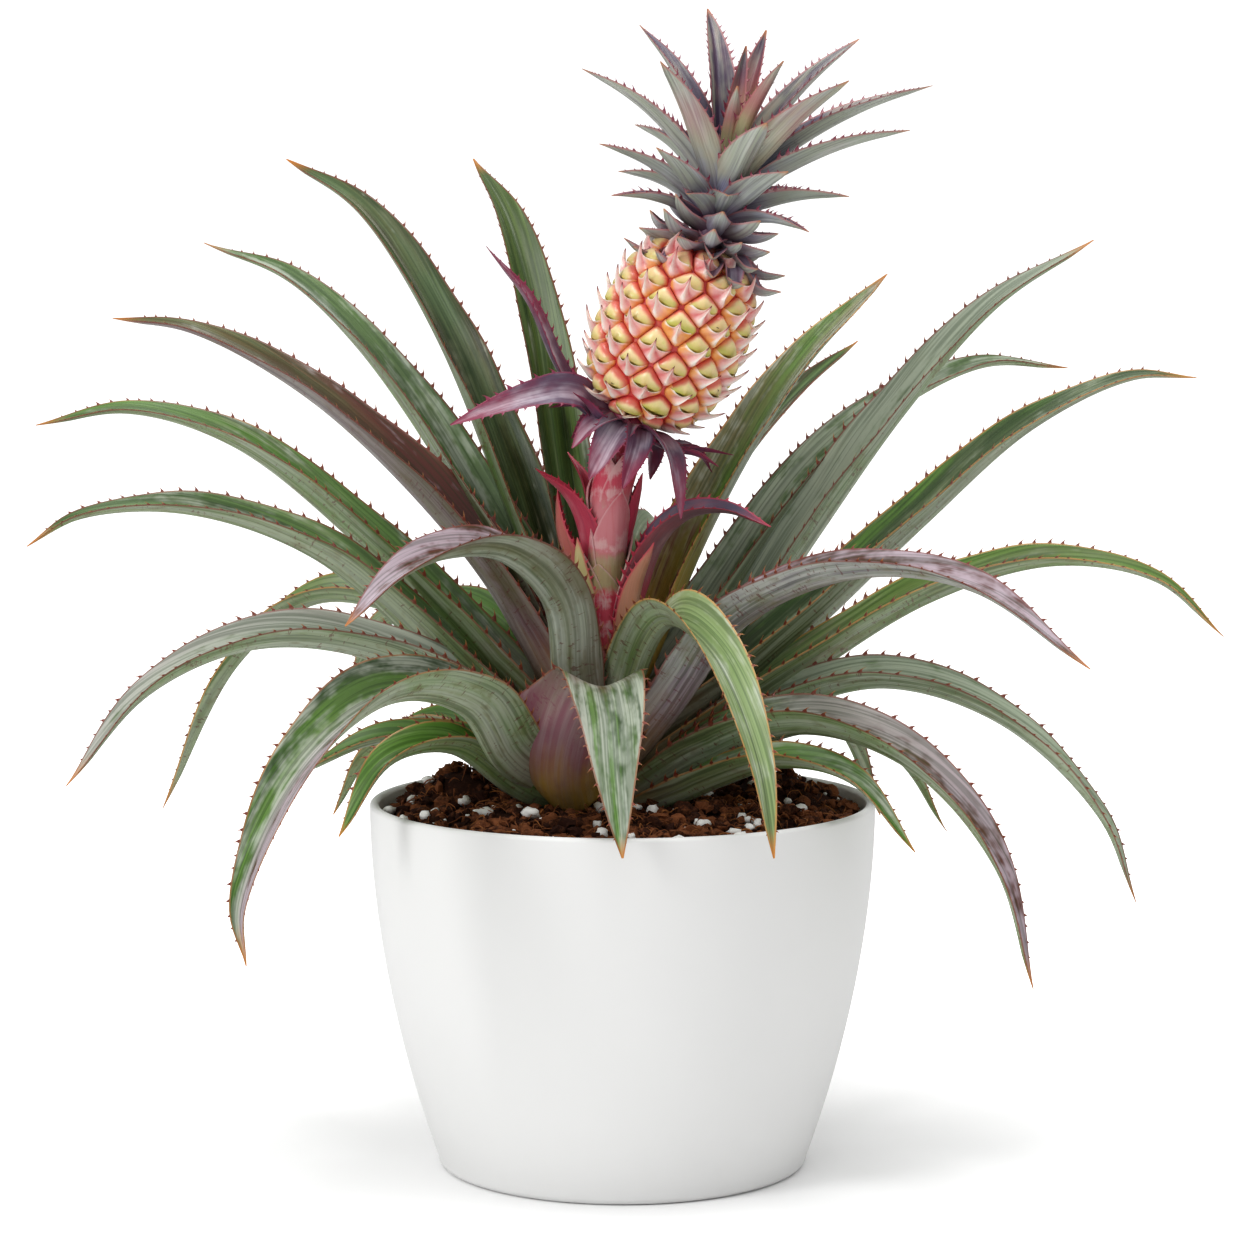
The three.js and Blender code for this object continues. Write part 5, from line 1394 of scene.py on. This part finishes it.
class PLANT_OT_soil(bpy.types.Operator):
    """Build the potting mix: bed, crumbs, fibres and perlite"""

    bl_idname = "plant.soil"
    bl_label = "Potting mix"

    def execute(self, context):
        soil, pot = context.scene.plant_soil, context.scene.plant_pot
        wall = pot_inner(pot, soil.edge) - 0.5 * MM
        draw = random.Random(5)
        self.bed(soil, pot, wall)
        self.crumbs(soil, wall, draw)
        self.fibres(soil, wall, draw)
        self.grains(soil, wall, draw)
        return {"FINISHED"}

    def bed(self, soil, pot, wall):
        """The mix from its uneven top down to the pot's floor."""
        sides = 120
        middle, floor = 0.2 * MM, pot.floor + 0.4 * MM
        rings = [(r, None) for r in np.linspace(middle, wall, 46)]
        rings += [(pot_inner(pot, z) - 1.2 * MM, z) for z in (0.54 * pot.height, 0.24 * pot.height)]
        rings += [(pot_inner(pot, pot.floor) - 4 * MM, floor), (middle, floor)]
        points = []
        for r, z in rings:
            for a in np.linspace(0, 2 * math.pi, sides, endpoint=False):
                x, y = r * math.cos(a), r * math.sin(a)
                points.append((x, y, soil_height(soil, x, y) - 0.6 * MM if z is None else z))
        shape = Shape()
        shape.add(points, [face[::-1] for face in rolled((len(rings), sides))], tint=-0.15)
        settle(shape.piece("soil_bed", soil_finish("soil_skin", soil.brown, soil.dark)), "soil", "soil")

    def spot(self, soil, wall, draw, inset):
        """A random place on the bed, clear of the pot's wall."""
        r = (wall - inset) * math.sqrt(draw.random())
        a = draw.uniform(0, 2 * math.pi)
        x, y = r * math.cos(a), r * math.sin(a)
        return np.array([x, y, soil_height(soil, x, y)])

    def crumbs(self, soil, wall, draw):
        """Crumbs of peat, with a chip of bark for every seventh."""
        shape = Shape()
        for k in range(soil.crumbs):
            bark = k % 7 == 0
            size = (draw.uniform(2.2, 4.4) if bark else draw.uniform(0.8, 2.3)) * MM
            centre = self.spot(soil, wall, draw, size + 0.5 * MM)
            centre[2] += draw.uniform(-0.2, 0.8) * min(size, 2.4 * MM)
            ranges = ((0.8, 1.3), (0.5, 0.8), (0.4, 0.7)) if bark else ((0.7, 1.3), (0.6, 1.0), (0.6, 1.0))
            radii = size * np.array([draw.uniform(*ends) for ends in ranges])
            turn = Matrix.Rotation(draw.uniform(0, 6.3), 3, "Z") @ Matrix.Rotation(draw.uniform(-0.8, 0.8), 3, "X")
            lump(shape, centre, radii, turn, draw, 2 if bark else 1, 0.75, tint=draw.uniform(-0.25, 0.3))
        settle(shape.piece("soil_crumbs", soil_finish("crumb_skin", soil.brown, soil.dark), crease=50), "soil")

    def fibres(self, soil, wall, draw):
        """Loose bent fibres that lie on the bed."""
        shape = Shape()
        for _ in range(soil.fibres):
            start = self.spot(soil, wall, draw, 4 * MM)
            a = draw.uniform(0, 2 * math.pi)
            size = draw.uniform(3, 11) * MM
            bend, lift = draw.uniform(-1.6, 1.6), draw.uniform(0.5, 2.6) * MM
            points = []
            for s in np.linspace(0, 1, len(FIBRE_PROFILE)):
                heading = a + bend * s
                x = start[0] + size * (s - 0.5) * math.cos(heading)
                y = start[1] + size * (s - 0.5) * math.sin(heading)
                reach, limit = math.hypot(x, y), wall - FIBRE_CLEARANCE
                if reach > limit:
                    x, y = x * limit / reach, y * limit / reach
                points.append((x, y, soil_height(soil, x, y) + 0.6 * MM + lift * math.sin(s * math.pi)))
            radii = draw.uniform(0.12, 0.3) * MM * FIBRE_PROFILE
            tube(shape, points, radii, 5, tint=draw.uniform(-0.3, 0.3))
        settle(shape.piece("soil_fibres", soil_finish("fibre_skin", soil.fibre, soil.brown)), "soil")

    def grains(self, soil, wall, draw):
        """White perlite grains, sunk a little into the crumbs."""
        shape = Shape()
        for _ in range(soil.grains):
            size = draw.choice(GRAIN_SIZES) * draw.uniform(0.8, 1.15) * MM
            centre = self.spot(soil, wall, draw, size + 0.6 * MM)
            centre[2] += 0.6 * MM + size * 0.35
            radii = size * np.array([draw.uniform(0.85, 1.3), draw.uniform(0.75, 1.0), draw.uniform(0.55, 0.85)])
            turn = Matrix.Rotation(draw.uniform(0, 6.3), 3, "Z")
            lump(shape, centre, radii, turn, draw, 2, 0.45)
        settle(shape.piece("soil_perlite", perlite_finish(soil)), "soil")


# Studio

CAMERA_PLACE = (0.0015, -1.2, 0.304)
CAMERA_PITCH = 5.79  # degrees below level
CAMERA_LENS = 103.06  # millimetres, on a film of CAMERA_FILM
CAMERA_FILM = 36
LIT_POINT = (0, 0, 0.2)  # the lamps face this place
FOOT = 0.0612  # radius at which the pot meets the floor
FLOOR_CORNERS = [(-40, -20, 0), (40, -20, 0), (40, 60, 0), (-40, 60, 0)]


def floor_finish(studio):
    """White floor with a glow that only the camera sees: full further out so that it runs into the surround, fainter
    near the pot as a painted shadow, and nil under its foot as a painted contact shadow.
    """
    finish = Finish("floor_white", roughness=0.6, Specular_IOR_Level=0.0, Emission_Strength=studio.glow)
    place = finish.place()
    speckle = finish.noise(place, 40, detail=2) + 0.5
    x, y, _ = finish.split(place)
    away = (x * x + y * y) ** 0.5
    # Painted contact shadow: the glow falls from faint to none at the ring where the pot meets the floor.
    near = finish.over((0.14, 0.14, 0.14), (0, 0, 0), away, FOOT + 0.0012, FOOT)
    # Painted shadow round the pot: the glow grows from that faint glow near the pot to full white further out.
    light = finish.over(near, (1, 1, 1), away, 0.08, 0.4)
    seen = finish.node("ShaderNodeLightPath", output="Is Camera Ray")
    finish.set(Base_Color=finish.mixed(speckle * 0.3, studio.white, [channel * 0.99 for channel in studio.white]),
               Emission_Color=finish.mixed(seen, (0, 0, 0), light))
    return finish.material


class PLANT_OT_studio(bpy.types.Operator):
    """Build the pale floor, the soft lights and the camera"""

    bl_idname = "plant.studio"
    bl_label = "Studio"

    def execute(self, context):
        studio, scene = context.scene.plant_studio, context.scene
        shape = Shape()
        shape.add(FLOOR_CORNERS, [(0, 1, 2, 3)])
        shape.piece("floor", floor_finish(studio))
        self.surround(scene, studio.sky)
        self.light(scene, "key_light", (-1.4, -1.1, 1.2), 0.6, studio.key)
        self.light(scene, "top_light", (0.1, -0.1, 1.9), 0.9, studio.top)
        camera = bpy.data.cameras.new("camera")
        camera.lens = CAMERA_LENS
        camera.sensor_width = CAMERA_FILM
        viewer = bpy.data.objects.new("camera", camera)
        viewer.location = CAMERA_PLACE
        viewer.rotation_euler = (math.radians(90 - CAMERA_PITCH), 0, 0)
        scene.collection.objects.link(viewer)
        scene.camera = viewer
        scene.view_settings.view_transform = "Standard"
        scene.view_settings.look = "Medium High Contrast"
        return {"FINISHED"}

    def surround(self, scene, sky):
        """A surround that is seen as white and gives less light than that."""
        world = bpy.data.worlds.new("white_surround")
        world.use_nodes = True
        nodes, background = Nodes(world.node_tree), world.node_tree.nodes["Background"]
        seen = nodes.node("ShaderNodeLightPath", output="Is Camera Ray")
        nodes.feed(background.inputs["Strength"], nodes.node("ShaderNodeMix", inputs={0: seen, 2: sky, 3: 1.0}))
        nodes.feed(background.inputs["Color"], (1, 1, 1))
        scene.world = world

    def light(self, scene, name, place, size, power):
        """A square soft lamp that faces the plant."""
        lamp = bpy.data.lights.new(name, "AREA")
        lamp.size = size
        lamp.energy = power
        made = bpy.data.objects.new(name, lamp)
        made.location = place
        made.rotation_euler = (Vector(LIT_POINT) - Vector(place)).to_track_quat("-Z", "Y").to_euler()
        scene.collection.objects.link(made)


# Panel and registration

OPERATORS = (
    PLANT_OT_pot,
    PLANT_OT_soil,
    PLANT_OT_stalk,
    PLANT_OT_leaves,
    PLANT_OT_collar,
    PLANT_OT_fruit,
    PLANT_OT_crown,
    PLANT_OT_studio,
)


class PLANT_PT_panel(bpy.types.Panel):
    """Lists the plant's pieces and their settings"""

    bl_label = "Potted pineapple plant"
    bl_space_type = "VIEW_3D"
    bl_region_type = "UI"
    bl_category = "Plant"

    def draw(self, context):
        for operator in OPERATORS:
            self.layout.operator(operator.bl_idname)
        for name, group in SETTINGS.items():
            box = self.layout.box()
            box.label(text=group.__name__.removesuffix("Settings"))
            for key in group.__annotations__:
                box.prop(getattr(context.scene, name), key)


CLASSES = (*SETTINGS.values(), *OPERATORS, PLANT_PT_panel)


def register():
    for made in CLASSES:
        bpy.utils.register_class(made)
    for name, group in SETTINGS.items():
        setattr(bpy.types.Scene, name, PointerProperty(type=group))


def unregister():
    for name in SETTINGS:
        delattr(bpy.types.Scene, name)
    for made in reversed(CLASSES):
        bpy.utils.unregister_class(made)


def main():
    register()
    bpy.ops.plant.pot()
    bpy.ops.plant.soil()
    bpy.ops.plant.stalk()
    bpy.ops.plant.leaves()
    bpy.ops.plant.collar()
    bpy.ops.plant.fruit()
    bpy.ops.plant.crown()
    bpy.ops.plant.studio()
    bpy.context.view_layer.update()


if __name__ == "__main__":
    main()
